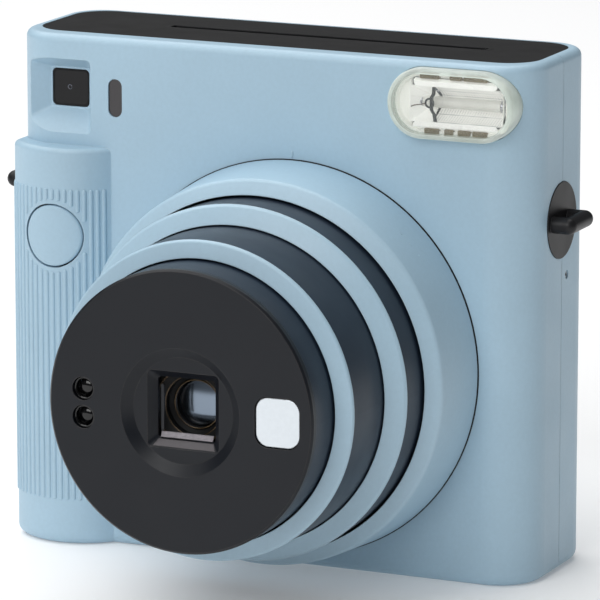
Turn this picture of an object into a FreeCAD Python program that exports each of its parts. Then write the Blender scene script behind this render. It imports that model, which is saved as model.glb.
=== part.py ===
import FreeCAD, Part
import math
import os
import re
import Sketcher
from FreeCAD import Placement, Rotation, Vector

# Square-format instant film camera standing on its base, switched on, with its collapsible lens run out.
# +Z is up, the front faces -Y and +X is to the right of somebody facing the front. The pieces are drawn
# with Y = 0 on the body's front face, then all moved so that the origin is the middle of the base.

DIMENSIONS = [
    ("body_width", 128.1, "overall width of the body"),
    ("body_height", 118.6, "overall height"),
    ("body_depth", 38.1, "body without the lens"),
    ("origin_y", 19.05, "frame origin behind the body's front face"),
    ("front_radius", 11.0, "upright front corners"),
    ("rear_radius", 9.0, "upright rear corners"),
    ("top_fillet", 1.8, "edge round the top"),
    ("base_fillet", 2.5, "edge round the base"),
    ("wall", 2.0, "shell wall"),
    ("parting", 20.0, "joint between front and rear shell"),
    ("parting_gap", 0.16, "shadow line at the shell joint"),
    ("panel_front", 5.26, "top panel inset from the front"),
    ("panel_side", 2.7, "top panel inset from the sides"),
    ("panel_rear", 2.1, "top panel inset from the rear"),
    ("panel_radius", 8.0, "top panel corners"),
    ("panel_depth", 1.2, "top panel thickness"),
    ("slot_low", -33.1, "film slot, left end"),
    ("slot_high", 45.1, "film slot, right end"),
    ("slot_front", 20.7, "film slot, front edge"),
    ("slot_width", 1.5, "film slot, front to rear"),
    ("grip_x", -50.83, "middle of the grip bulge"),
    ("grip_right", -38.6, "right edge of the grip, where the bulge meets the body's front"),
    ("grip_axis", 11.24, "Y of the grip bulge's axis"),
    ("grip_radius", 16.62, "grip bulge radius"),
    ("grip_corner", 4.0, "grip's upright left corner"),
    ("grip_edge", 1.2, "edge round the grip's top"),
    ("grip_top", 93.2, "top of the grip"),
    ("lens_x", 6.73, "lens axis"),
    ("lens_z", 48.56, "lens axis"),
    ("dial_radius", 45.43, "lens dial at its foot"),
    ("dial_crest", 44.1, "lens dial at its shoulder"),
    ("dial_front", 19.64, "lens dial reach in front of the body"),
    ("dial_bore", 40.77, "lens dial bore"),
    ("neck_radius", 42.3, "dial neck that turns in the front shell"),
    ("running", 0.06, "running clearance"),
    ("barrel_a", 40.2, "outer barrel radius"),
    ("barrel_b", 35.9, "middle barrel radius"),
    ("barrel_c", 31.6, "inner barrel radius"),
    ("barrel_wall", 1.9, "barrel wall"),
    ("front_a", 31.32, "outer trim ring reach"),
    ("front_b", 48.46, "middle trim ring reach"),
    ("front_c", 59.26, "front plate reach"),
    ("finder_x", -50.9, "viewfinder axis"),
    ("finder_z", 105.6, "viewfinder axis"),
    ("button_x", -51.2, "shutter button axis"),
    ("button_z", 72.8, "shutter button axis"),
    ("button_radius", 7.1, "shutter button"),
    ("button_gap", 0.35, "gap round the shutter button"),
    ("flash_left", 30.8, "flash cover, left end"),
    ("flash_right", 60.9, "flash cover, right end"),
    ("flash_low", 101.55, "flash cover, bottom"),
    ("flash_high", 117.4, "flash cover, top"),
    ("flash_proud", 2.8, "flash cover reach in front of the body"),
    ("lug_y", 19.5, "strap lug centre"),
    ("lug_z", 81.4, "strap lug centre"),
    ("lug_radius", 8.7, "strap lug plate"),
    ("bar_radius", 1.9, "strap lug bar"),
    ("reach_right", 68.0, "outer bar of the right strap lug, from the body's middle"),
    ("reach_left", 70.3, "outer bar of the left strap lug, from the body's middle"),
    ("film_y", 21.5, "film path through the rollers"),
    ("roller_z", 106.0, "roller axes"),
    ("roller_pitch", 7.2, "distance between the roller axes"),
    ("roller_radius", 3.45, "film rollers"),
    ("shaft_radius", 1.5, "roller shafts"),
    ("gear_module", 0.6, "film drive gears"),
    ("drive_teeth", 24, "gear on the front roller"),
    ("idler_teeth", 30, "reduction gear"),
    ("pinion_teeth", 10, "motor pinion"),
    ("sync_teeth", 12, "gears that tie the rollers together"),
    ("chamber_left", -36.5, "film chamber"),
    ("chamber_right", 48.5, "film chamber"),
    ("chamber_low", 5.0, "film chamber"),
    ("chamber_high", 99.5, "film chamber"),
    ("hinge_x", 52.6, "film door hinge axis"),
    ("hinge_y", 36.4, "film door hinge axis"),
    ("door_left", -38.0, "film door, free edge"),
    ("door_right", 50.5, "film door, hinge edge"),
    ("door_low", 6.5, "film door, bottom"),
    ("door_high", 101.0, "film door, top"),
    ("cell_radius", 7.8, "lithium cell"),
    ("cell_length", 27.0, "lithium cell"),
    ("cell_x", -54.1, "battery axis"),
    ("cell_y", 14.0, "battery axis"),
    ("battery_hinge_x", -63.05, "battery door hinge axis"),
    ("battery_hinge_y", 23.2, "battery door hinge axis"),
]

doc = FreeCAD.newDocument("instant_camera")
dims = doc.addObject("Spreadsheet::Sheet", "dims")
for row, (alias, number, note) in enumerate(DIMENSIONS, start=1):
    dims.set(f"A{row}", note)
    dims.set(f"B{row}", str(number))
    dims.setAlias(f"B{row}", alias)
doc.recompute()
ALIASES = {alias for alias, _, _ in DIMENSIONS}
PIECES = []


def size(alias):
    return float(getattr(dims, alias))


def linked(text):
    """The expression with the sheet's name in front of each of its aliases."""
    def named(match):
        word = match.group()
        return "dims." + word if word in ALIASES else word

    return re.sub(r"[a-z][a-z_]*[a-z]", named, str(text))


def bind(thing, **expressions):
    for name, text in expressions.items():
        thing.setExpression(name.replace("__", "."), linked(text))
    return thing


def piece(node, thing):
    thing.Label = node
    PIECES.append(thing)
    return thing


# ---- primitives and booleans, bound to the sheet ----


def place(thing, x, y, z, turn=None):
    thing.Placement = Placement(Vector(0, 0, 0), turn or Rotation())
    return bind(thing, Placement__Base__x=x, Placement__Base__y=y, Placement__Base__z=z)


def box(name, xs, ys, zs):
    """A box from three (low, high) pairs of expressions."""
    thing = doc.addObject("Part::Box", name)
    spans = [f"({high}) - ({low})" for low, high in (xs, ys, zs)]
    bind(thing, Length=spans[0], Width=spans[1], Height=spans[2])
    return place(thing, xs[0], ys[0], zs[0])


TURNS = {
    "x": Rotation(Vector(0, 1, 0), 90),
    "y": Rotation(Vector(1, 0, 0), -90),
    "z": Rotation(),
}


def rod(name, axis, start, radius, length):
    """A cylinder that runs from start along +axis."""
    thing = doc.addObject("Part::Cylinder", name)
    bind(thing, Radius=radius, Height=length)
    return place(thing, *start, turn=TURNS[axis])


def cone(name, start, radius_low, radius_high, length):
    """A cone frustum that runs from start along +Y."""
    thing = doc.addObject("Part::Cone", name)
    bind(thing, Radius1=radius_low, Radius2=radius_high, Height=length)
    return place(thing, *start, turn=TURNS["y"])


def wedge(name, near, far, ys):
    """A frustum between two rectangles, each (x low, x high, z low, z high), at two Y positions."""
    thing = doc.addObject("Part::Wedge", name)
    bind(thing, Xmin=near[0], Xmax=near[1], Zmin=near[2], Zmax=near[3], Ymin=ys[0])
    return bind(thing, X2min=far[0], X2max=far[1], Z2min=far[2], Z2max=far[3], Ymax=ys[1])


def fuse(name, *parts):
    thing = doc.addObject("Part::MultiFuse", name)
    thing.Shapes = list(parts)
    thing.Refine = True
    return thing


def common(name, first, second):
    thing = doc.addObject("Part::MultiCommon", name)
    thing.Shapes = [first, second]
    return thing


def cut(name, base, *tools):
    thing = doc.addObject("Part::Cut", name)
    thing.Base = base
    thing.Tool = tools[0] if len(tools) == 1 else fuse(name + "_tools", *tools)
    return thing


def rounded(name, base, *rules):
    """Fillets the edges that each (radius, test) rule picks; a test reads the edge's bounding box."""
    doc.recompute()
    edges = []
    for index, edge in enumerate(base.Shape.Edges, start=1):
        for radius, test in rules:
            if test(edge.BoundBox):
                edges.append((index, radius, radius))
                break
    thing = doc.addObject("Part::Fillet", name)
    thing.Base = base
    thing.Edges = edges
    return thing


def upright(bb):
    return bb.ZLength > 1 and bb.XLength < 0.01 and bb.YLength < 0.01


def along_y(bb):
    return bb.YLength > 0.3 and bb.XLength < 0.01 and bb.ZLength < 0.01


def near(first, second):
    return abs(first - second) < 0.02


def stadium(name, xs, ys, zs, tall=False):
    """A bar with half-round ends, lying along X, or standing along Z where it is tall."""
    narrow = xs if tall else zs
    radius = f"(({narrow[1]}) - ({narrow[0]})) / 2"
    depth = f"({ys[1]}) - ({ys[0]})"
    first = (f"({xs[0]}) + {radius}", f"({zs[0]}) + {radius}")
    if tall:
        last = (first[0], f"({zs[1]}) - {radius}")
        core = box(name + "_core", xs, ys, (first[1], last[1]))
    else:
        last = (f"({xs[1]}) - {radius}", first[1])
        core = box(name + "_core", (first[0], last[0]), ys, zs)
    ends = [rod(f"{name}_end_{i}", "y", (x, ys[0], z), radius, depth) for i, (x, z) in enumerate((first, last))]
    return fuse(name, core, *ends)


# ---- bodies turned about the lens axis ----


def origin_plane(body, role):
    return next(f for f in body.Origin.OriginFeatures if f.Role == role)


def profile(body, name, role, points):
    """A closed sketch of straight edges whose corners are (horizontal, vertical) expressions."""
    sketch = body.newObject("Sketcher::SketchObject", name)
    sketch.AttachmentSupport = [(origin_plane(body, role), "")]
    sketch.MapMode = "FlatFace"
    corners = [Vector(reading(a), reading(b), 0) for a, b in points]
    count = len(corners)
    for i in range(count):
        sketch.addGeometry(Part.LineSegment(corners[i], corners[(i + 1) % count]), False)
    for i in range(count):
        sketch.addConstraint(Sketcher.Constraint("Coincident", i, 2, (i + 1) % count, 1))
    for i, pair in enumerate(points):
        for kind, text, value in zip(("DistanceX", "DistanceY"), pair, corners[i]):
            index = sketch.addConstraint(Sketcher.Constraint(kind, i, 1, value))
            sketch.setExpression(f"Constraints[{index}]", linked(text))
    return sketch


def reading(text):
    """What a sheet expression comes to, read through a spreadsheet cell."""
    dims.set("D1", "=" + re.sub(r"dims\.", "", linked(text)))
    doc.recompute([dims])
    value = dims.get("D1")
    dims.clear("D1")
    return float(value)


def turned(name, points, fillets=()):
    """A solid turned about the lens axis from (radius, y) corners; a fillet is (radius of edge, y, size)."""
    body = doc.addObject("PartDesign::Body", name)
    sketch = profile(body, name + "_profile", "XY_Plane", points)
    solid = body.newObject("PartDesign::Revolution", name + "_turn")
    solid.Profile = sketch
    solid.ReferenceAxis = (sketch, ["V_Axis"])
    solid.Angle = 360
    if fillets:
        doc.recompute()
        for number, (edge_radius, edge_y, blend) in enumerate(fillets):
            names = []
            for index, edge in enumerate(solid.Shape.Edges, start=1):
                bb = edge.BoundBox
                if near(bb.YMax, edge_y) and abs(bb.XMax - edge_radius) < 0.1 and bb.YLength < 0.01:
                    names.append(f"Edge{index}")
            softened = body.newObject("PartDesign::Fillet", f"{name}_fillet_{number}")
            softened.Base = (solid, names)
            softened.Radius = blend
            doc.recompute()
            solid = softened
    return place(body, "lens_x", 0, "lens_z")


# ---- casing ----

SIDE = "body_width / 2"


def body_block(name, inset):
    """The body's outline, drawn in by inset all round."""
    block = box(
        name + "_box",
        (f"-{SIDE} + {inset}", f"{SIDE} - {inset}"),
        (inset, f"body_depth - {inset}"),
        (inset, f"body_height - {inset}"),
    )
    corners = rounded(
        name + "_corners",
        block,
        (size("front_radius") - inset, lambda bb: upright(bb) and bb.YMin < 10),
        (size("rear_radius") - inset, upright),
    )
    top_blend = max(size("top_fillet") - inset, 1.0)
    base_blend = max(size("base_fillet") - inset, 0.5)
    high = size("body_height") - inset
    return rounded(
        name,
        corners,
        (top_blend, lambda bb: bb.ZMin > high - 0.01),
        (base_blend, lambda bb: bb.ZMax < inset + 0.01),
    )


def grip_block(name, inset):
    """The bulge for the fingers, drawn in by inset: a slice of an upright cylinder meeting the front face."""
    foot = ("grip_x", "grip_axis", inset)
    bulge = rod(name + "_bulge", "z", foot, f"grip_radius - {inset}", f"grip_top - 2 * {inset}")
    slab = box(
        name + "_slab",
        (f"-{SIDE} + {inset}", f"grip_right + 1 - {inset} / 2"),
        (-12, 11.5),
        (inset, f"grip_top - {inset}"),
    )
    left = -size("body_width") / 2 + inset
    blank = rounded(
        name + "_corners",
        common(name + "_slice", bulge, slab),
        (size("grip_corner") - inset, lambda bb: upright(bb) and near(bb.XMin, left) and bb.YMin < 5),
    )
    if inset:
        return blank
    high = size("grip_top")
    return rounded(
        name,
        blank,
        (size("grip_edge"), lambda bb: bb.ZMin > high - 0.01 and bb.YMin < 10),
        (size("base_fillet"), lambda bb: bb.ZMax < 0.01 and bb.YMin < 10),
    )


def half_space(name, ys):
    return box(name, (-80, 80), ys, (-5, "body_height + 5"))


def film_slot():
    ys = ("slot_front - 0.5", "slot_front + slot_width + 0.5")
    return box("film_slot", ("slot_low", "slot_high"), ys, (112, "body_height + 1"))


def panel_recess(name, clearance):
    block = box(
        name + "_box",
        (f"-{SIDE} + panel_side - {clearance}", f"{SIDE} - panel_side + {clearance}"),
        (f"panel_front - {clearance}", f"body_depth - panel_rear + {clearance}"),
        ("body_height - panel_depth", "body_height + 2"),
    )
    return rounded(name, block, (size("panel_radius"), upright))


def battery_gap(name, clearance):
    return box(
        name,
        (f"-{SIDE} - 1", f"-{SIDE} + wall + 0.5"),
        (f"5.8 - {clearance}", f"22.2 + {clearance}"),
        (f"6.3 - {clearance}", f"63.7 + {clearance}"),
    )


def lug_holes():
    radius = "lug_radius + running"
    return rod("lug_holes", "x", (f"-{SIDE} - 2", "lug_y", "lug_z"), radius, "body_width + 4")


def screw_places():
    """(axis, start, head radius, head length) of every housing screw; the head lies just under the surface."""
    low, rear = 0.25, "body_depth - 1.85"
    return [
        ("x", (f"{SIDE} - 1.7", 23.15, 68.3), 1.0, 1.6),
        ("x", (f"-{SIDE} + 0.1", 23.15, 68.3), 1.0, 1.6),
        ("z", (-48, 29, low), 2.1, 1.6),
        ("z", (56, 29, low), 2.1, 1.6),
        ("y", (-53, rear, 22), 2.1, 1.6),
        ("y", (-53, rear, 92), 2.1, 1.6),
        ("y", (15, rear, 110), 2.1, 1.6),
    ]


def screw_holes(name, places):
    holes = []
    for i, (axis, centre, radius, length) in enumerate(places):
        start = [f"({c}) - 2.5" if a == axis else c for a, c in zip("xyz", centre)]
        holes.append(rod(f"{name}_{i}", axis, start, radius, length + 5))
    return holes


def make_front_shell(outer, inner):
    boss = common("finder_boss", box("finder_boss_box", (-61.5, -42.4), (1.0, 6.6), (94.5, 115)), outer)
    bulge = grip_block("grip", 0)
    hollow = fuse("front_hollow", inner, grip_block("grip_hollow", size("wall")))
    front = half_space("front_space", (-30, "parting - parting_gap / 2"))
    half = common("front_half", fuse("front_skin", outer, bulge), front)
    finder_gap = box("finder_gap", (-55.8, -46.4), (4.5, 8), (101.25, 109.95))
    walls = cut("front_walls", half, hollow)
    pocket = rounded(
        "finder_pocket",
        wedge("finder_pocket_blank", (-65.3, -43.6, 95.9, 113.1), (-56.2, -46.0, 100.8, 110.4), (-0.1, 5.0)),
        (1.4, lambda bb: bb.YLength > 4),
    )
    flash_opening = stadium(
        "flash_opening",
        ("flash_left - 0.1", "flash_right + 0.1"),
        (-1, 4.9),
        ("flash_low - 0.1", "flash_high + 0.1"),
    )
    tools = [
        rod("dial_opening", "y", ("lens_x", -1, "lens_z"), "neck_radius + running", 5),
        pocket,
        rounded("finder_opening", finder_gap, (1.1, along_y)),
        flash_opening,
        box("flash_throat", (33, 58.8), (4.5, 12.4), (102.6, 116.0)),
        stadium("exposure_opening", (-39.175, -35.725), (-1, 3), (100.45, 109.23), tall=True),
        rod("button_opening", "y", ("button_x", -9, "button_z"), "button_radius + button_gap", 10),
        panel_recess("front_panel_recess", 0.1),
        battery_gap("front_battery_gap", 0.3),
        lug_holes(),
    ]
    return piece("front_shell", cut("front_shell_cut", fuse("front_blank", walls, boss), *tools))


def make_rear_shell(outer, inner):
    half = common("rear_half", outer, half_space("rear_space", ("parting + parting_gap / 2", 60)))
    walls = cut("rear_walls", half, inner)
    knuckle_ys = ("hinge_y - 1.4", "hinge_y + 1.1")
    knuckles = [
        fuse(
            f"shell_knuckle_{i}",
            rod(f"shell_knuckle_rod_{i}", "z", ("hinge_x", "hinge_y", low), 1.6, 10),
            box(f"shell_knuckle_arm_{i}", ("hinge_x", "hinge_x + 4"), knuckle_ys, (low, low + 10)),
        )
        for i, low in enumerate((8, 90))
    ]
    battery_knuckles = [
        rod(f"battery_knuckle_{i}", "z", ("battery_hinge_x", "battery_hinge_y", low), 0.95, 6)
        for i, low in enumerate((6.2, 57.8))
    ]
    arm_xs = ("battery_hinge_x - 0.6", "battery_hinge_x + 0.9")
    arm_ys = ("battery_hinge_y", 25)
    battery_arms = [box(f"battery_arm_{i}", arm_xs, arm_ys, (low, low + 6)) for i, low in enumerate((6.2, 57.8))]
    opening = rounded(
        "door_opening",
        box("door_gap", ("door_left - 0.3", "hinge_x + 3"), (34, 40), ("door_low - 0.3", "door_high + 0.3")),
        (3.0, lambda bb: along_y(bb) and bb.XMax < 0),
    )
    eyepiece_gap = box("eyepiece_gap", (-57, -44.8), (35, 40), (100.4, 110.8))
    battery_opening = fuse(
        "rear_battery_opening",
        battery_gap("rear_battery_gap", 0.3),
        box("battery_hinge_gap", (f"-{SIDE} - 1", f"-{SIDE} + wall + 0.5"), (21, 24.6), (6.0, 64.0)),
    )
    pin_holes = [
        rod("door_pin_hole", "z", ("hinge_x", "hinge_y", 7), 0.8, 94),
        rod("battery_pin_hole", "z", ("battery_hinge_x", "battery_hinge_y", 6.6), "0.5 + running", 56.8),
    ]
    tools = [
        opening,
        battery_opening,
        film_slot(),
        panel_recess("rear_panel_recess", 0.1),
        lug_holes(),
        rounded("eyepiece_opening", eyepiece_gap, (2.0, along_y)),
        rod("counter_opening", "y", (34, 35, 108), 4.0, 5),
        *screw_holes("rear_screw_hole", screw_places()),
    ]
    shell = cut("rear_shell_walls", walls, *tools)
    hinged = fuse("rear_shell_hinged", shell, *knuckles, *battery_knuckles, *battery_arms)
    return piece("rear_shell", cut("rear_shell_cut", hinged, *pin_holes))


def make_casing_trim():
    panel = rounded(
        "panel_blank",
        box(
            "panel_box",
            (f"-{SIDE} + panel_side", f"{SIDE} - panel_side"),
            ("panel_front", "body_depth - panel_rear"),
            ("body_height - panel_depth", "body_height - 0.1"),
        ),
        (size("panel_radius"), upright),
    )
    piece("top_panel", cut("top_panel_cut", panel, film_slot()))
    screws = []
    for i, (axis, centre, radius, length) in enumerate(screw_places()):
        screws.append(rod(f"screw_{i}", axis, centre, radius, length))
    piece("housing_screws", fuse("housing_screw_set", *screws))


def make_strap_lug(node, side, reach):
    """A round plate in the body's side with a squared loop that stands out of it; side is 1 or -1."""

    def across(name, near_x, far_x, y, z, radius):
        """A rod along X between two distances from the body's middle."""
        start = near_x if side > 0 else f"-({far_x})"
        return rod(f"{node}_{name}", "x", (start, y, z), radius, f"({far_x}) - ({near_x})")

    front, rear, height = "lug_y - 5.5", "lug_y + 4.2", "lug_z - 0.1"
    parts = [
        across("plate", f"{SIDE} - 1.9", f"{SIDE} + 0.2", "lug_y", "lug_z", "lug_radius"),
        across("waist", f"{SIDE} - 3.0", f"{SIDE} - 1.5", "lug_y", "lug_z", 6),
        across("flange", f"{SIDE} - wall - 1.3", f"{SIDE} - wall - 0.1", "lug_y", "lug_z", "lug_radius + 1.0"),
        rod(node + "_bar", "y", (f"{side} * {reach}", front, height), "bar_radius", f"({rear}) - ({front})"),
    ]
    for i, y in enumerate((front, rear)):
        parts.append(across(f"leg_{i}", f"{SIDE} - 1", reach, y, height, "bar_radius"))
        corner = doc.addObject("Part::Sphere", f"{node}_corner_{i}")
        bind(corner, Radius="bar_radius")
        parts.append(place(corner, f"{side} * {reach}", y, height))
    return piece(node, fuse(node + "_set", *parts))


# ---- lens ----

KEY_ANGLES = (90, 210, 330)


def make_dial():
    piece(
        "lens_dial",
        turned(
            "dial_ring",
            [
                ("dial_bore", "-dial_front"),
                ("dial_crest", "-dial_front + 2.2"),
                ("dial_radius", -0.4),
                ("dial_radius - 2", -0.4),
                ("neck_radius + 0.7", -13.5),
                ("neck_radius", -13.5),
                ("neck_radius", 2.9),
                ("dial_bore", 2.9),
            ],
            [(size("dial_crest"), -size("dial_front") + 2.2, 1.5)],
        ),
    )
    rim = "neck_radius + 2.9"
    outline = [("neck_radius", 2.1), (rim, 2.1), (rim, 2.9), ("neck_radius", 2.9)]
    piece("dial_retainer", turned("retainer_ring", outline))
    tube = turned(
        "mount_tube",
        [
            ("barrel_a + 0.9", 3.4),
            ("neck_radius + 3.7", 2.0),
            ("neck_radius + 3.7", 5.0),
            ("barrel_a + 3.2", 5.0),
            ("barrel_a + 3.2", 17.6),
            ("barrel_a + 0.9", 17.6),
        ],
    )
    dial_room = rod("retainer_room", "y", ("lens_x", 1.0, "lens_z"), "neck_radius + 3.1", 2.4)
    slots = [key_block(f"key_slot_{i}", a, 40.5, 44.5, 3.8, (3.0, 18.5)) for i, a in enumerate(KEY_ANGLES)]
    piece("lens_mount", cut("lens_mount_cut", tube, dial_room, *slots))


def key_block(name, angle, near_radius, far_radius, width, ys):
    """A radial block about the lens axis; the angle is measured from +X towards +Z."""
    thing = doc.addObject("Part::Box", name)
    bind(thing, Length=far_radius - near_radius, Width=ys[1] - ys[0], Height=width)
    turn = Rotation(Vector(0, -1, 0), angle)
    offset = turn.multVec(Vector(near_radius, ys[0], -width / 2))
    return place(thing, f"lens_x + ({offset.x})", offset.y, f"lens_z + ({offset.z})", turn)


def make_barrel(node, radius, front, rear, flange, ring_node, bore, reach, slope):
    """A telescoping barrel with a guide flange behind and a trim ring on its front edge."""
    inner = f"{radius} - barrel_wall"
    points = [(inner, front), (radius, front)]
    if flange:
        points += [(radius, f"{rear} - 1.9"), (flange, f"{rear} - 1.9"), (flange, rear)]
    else:
        points.append((radius, rear))
    tube = turned(node + "_tube", points + [(inner, rear)])
    if not flange:
        low = size(radius) - 1.2
        keys = [key_block(f"key_{i}", a, low, 42.7, 3.2, (4.6, 6.0)) for i, a in enumerate(KEY_ANGLES)]
        tube = fuse(node + "_keyed", tube, *keys)
    piece(node, tube)
    edge = f"{radius} + {slope}"
    ring = [
        (edge, front),
        (f"{radius} - 0.25", f"{front} - 0.75"),
        (bore, f"-{reach}"),
        (bore, f"{front} + 3.4"),
        (inner, f"{front} + 3.4"),
        (inner, front),
    ]
    rim = (size(radius) - 0.25, reading(f"{front} - 0.75"), 0.5)
    piece(ring_node, turned(ring_node + "_turn", ring, [rim]))


def make_inner_barrel():
    bore = "barrel_c - barrel_wall"
    flange = 33.6
    outline = [(bore, -57.3), ("barrel_c", -57.3), ("barrel_c", -23.9), (flange, -23.9), (flange, -22.0), (bore, -22.0)]
    piece("inner_barrel", turned("inner_tube", outline))


def make_front_plate():
    disc = turned(
        "plate_disc",
        [
            (0.001, "-front_c"),
            ("barrel_c - 0.5", "-front_c"),
            ("barrel_c", "-front_c + 0.5"),
            ("barrel_c", -57.3),
            (18.5, -57.3),
            (18.5, -54.8),
            (0.001, -54.8),
        ],
    )
    recess = cone("plate_recess", ("lens_x", "-front_c - 0.01", "lens_z"), 14.3, 11.9, 1.7)
    bevel = wedge(
        "window_bevel",
        ("lens_x - 8.7", "lens_x + 8.7", "lens_z - 8.7", "lens_z + 8.7"),
        ("lens_x - 6.9", "lens_x + 6.9", "lens_z - 6.9", "lens_z + 6.9"),
        (-57.7, -55.6),
    )
    throat = box("throat_box", ("lens_x - 6.9", "lens_x + 6.9"), (-56.5, -54), ("lens_z - 6.9", "lens_z + 6.9"))
    pocket = box("mirror_pocket_box", (24.55, 35.25), (-60, -57.95), (42.85, 54.1))
    tools = [
        recess,
        rounded("window_bevel_round", bevel, (1.6, lambda bb: bb.YLength > 1.9)),
        rounded("window_throat", throat, (1.0, along_y)),
        rounded("mirror_pocket", pocket, (3.1, along_y)),
        rod("sensor_hole_high", "y", (-16.57, -60, 51.74), 2.6, 4),
        rod("sensor_hole_low", "y", (-16.57, -60, 45.45), 2.6, 4),
    ]
    piece("front_plate", cut("front_plate_cut", disc, *tools))
    glass = box("mirror_box", (24.8, 35.0), (-58.95, -57.95), (43.1, 53.85))
    piece("selfie_mirror", rounded("mirror_blank", glass, (2.9, along_y)))
    sensors = [
        fuse(
            f"sensor_{i}",
            rod(f"sensor_tube_{i}", "y", (-16.57, -58.2, z), 2.5, 2.8),
            rod(f"sensor_eye_{i}", "y", (-16.57, -58.7, z), 1.2, 1.0),
        )
        for i, z in enumerate((51.74, 45.45))
    ]
    piece("sensor_windows", fuse("sensor_window_pair", *sensors))


def make_lens_cell():
    cell = turned(
        "cell_turn",
        [
            (8.2, -53.4),
            (11.0, -53.4),
            (11.0, -46.2),
            ("barrel_c - barrel_wall", -46.2),
            ("barrel_c - barrel_wall", -44.2),
            (3.6, -44.2),
            (3.6, -45.6),
            (5.25, -45.6),
            (5.25, -49.4),
            (6.6, -50.6),
            (6.6, -52.2),
        ],
    )
    piece("lens_cell", cell)
    glass = [("front_lens", -49.3, 5.2, 3.6, 14.0), ("rear_lens", -41.3, 4.4, 2.6, 12.0)]
    for node, front, radius, thickness, curve in glass:
        rim = rod(node + "_rim", "y", ("lens_x", front, "lens_z"), radius, thickness)
        ball = doc.addObject("Part::Sphere", node + "_ball")
        bind(ball, Radius=curve)
        place(ball, "lens_x", front + curve, "lens_z")
        piece(node, common(node + "_glass", rim, ball))
    plate = turned(
        "shutter_plate_turn",
        [
            (3.4, -42.2),
            ("barrel_c - barrel_wall", -42.2),
            ("barrel_c - barrel_wall", -40.9),
            (5.6, -40.9),
            (5.6, -38.2),
            (4.4, -38.2),
            (4.4, -41.3),
            (3.4, -41.3),
        ],
    )
    piece("shutter_plate", plate)


def make_cover_blades():
    for node, low, high in (("cover_blade_left", -16.6, -7.4), ("cover_blade_right", 7.4, 16.6)):
        xs = (f"lens_x + {low}", f"lens_x + {high}")
        piece(node, box(node + "_sheet", xs, (-54.45, -53.85), ("lens_z - 8", "lens_z + 8")))


def make_shutter_blades():
    for node, side, y in (("shutter_blade_left", -1, -43.75), ("shutter_blade_right", 1, -43.15)):
        disc = rod(node + "_disc", "y", ("lens_x", y, "lens_z"), 5.0, 0.4)
        arm = rod(node + "_pivot", "y", (f"lens_x + {side * 9}", y, "lens_z - 9"), 2.6, 0.4)
        bar = doc.addObject("Part::Box", node + "_bar")
        bind(bar, Length=12.7, Width=0.4, Height=3.0)
        turn = Rotation(Vector(0, -1, 0), 90 + 45 * side)
        offset = turn.multVec(Vector(0, 0, -1.5))
        place(bar, f"lens_x + {side * 9} + ({offset.x})", y, f"lens_z - 9 + ({offset.z})", turn)
        piece(node, fuse(node + "_set", disc, arm, bar))


# ---- controls, finder, flash ----


def make_shutter_button():
    cap = common(
        "button_cap",
        rod("button_rod", "y", ("button_x", -9, "button_z"), "button_radius", 8.8),
        rod("button_curve", "z", ("grip_x", "grip_axis", 40), "grip_radius", 60),
    )
    flange = rod("button_flange", "y", ("button_x", -0.3, "button_z"), "button_radius + 1.2", 1.2)
    stem = rod("button_stem", "y", ("button_x", -0.2, "button_z"), 2.0, 1.9)
    piece("shutter_button", fuse("button_set", cap, flange, stem))
    switch = box("switch_box", ("button_x - 3", "button_x + 3"), (3.6, 7.5), ("button_z - 3", "button_z + 3"))
    piece("shutter_switch", switch)


def make_finder():
    window = box("finder_window_box", (-55.7, -46.5), (5.1, 6.3), (101.35, 109.85))
    piece("finder_window", rounded("finder_window_plate", window, (1.0, along_y)))
    tunnel = box("tunnel_outer", (-57.4, -44.4), (6.7, 35.2), (99.9, 111.3))
    bore = box("tunnel_bore", (-56.2, -45.6), (6.0, 37.0), (101.1, 110.1))
    rim_block = box("eyepiece_rim_box", (-56.9, -44.9), (35.2, 37.9), (100.5, 110.7))
    hole_block = box("eyepiece_hole_box", (-55.4, -46.4), (35.0, 39.0), (102.1, 109.1))
    rim = rounded("eyepiece_rim", rim_block, (1.9, along_y))
    hole = rounded("eyepiece_hole", hole_block, (1.2, along_y))
    tube = cut("tunnel_cut", tunnel, bore)
    piece("finder_tunnel", fuse("finder_tunnel_set", tube, cut("eyepiece_cut", rim, hole)))
    lens = box("eyepiece_lens_box", (-55.4, -46.4), (36.4, 37.5), (102.1, 109.1))
    piece("eyepiece_lens", rounded("eyepiece_plate", lens, (1.2, along_y)))
    plug = stadium("exposure_plug", (-39.12, -35.78), (0.35, 2.0), (100.5, 109.18), tall=True)
    piece("exposure_window", plug)


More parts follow.
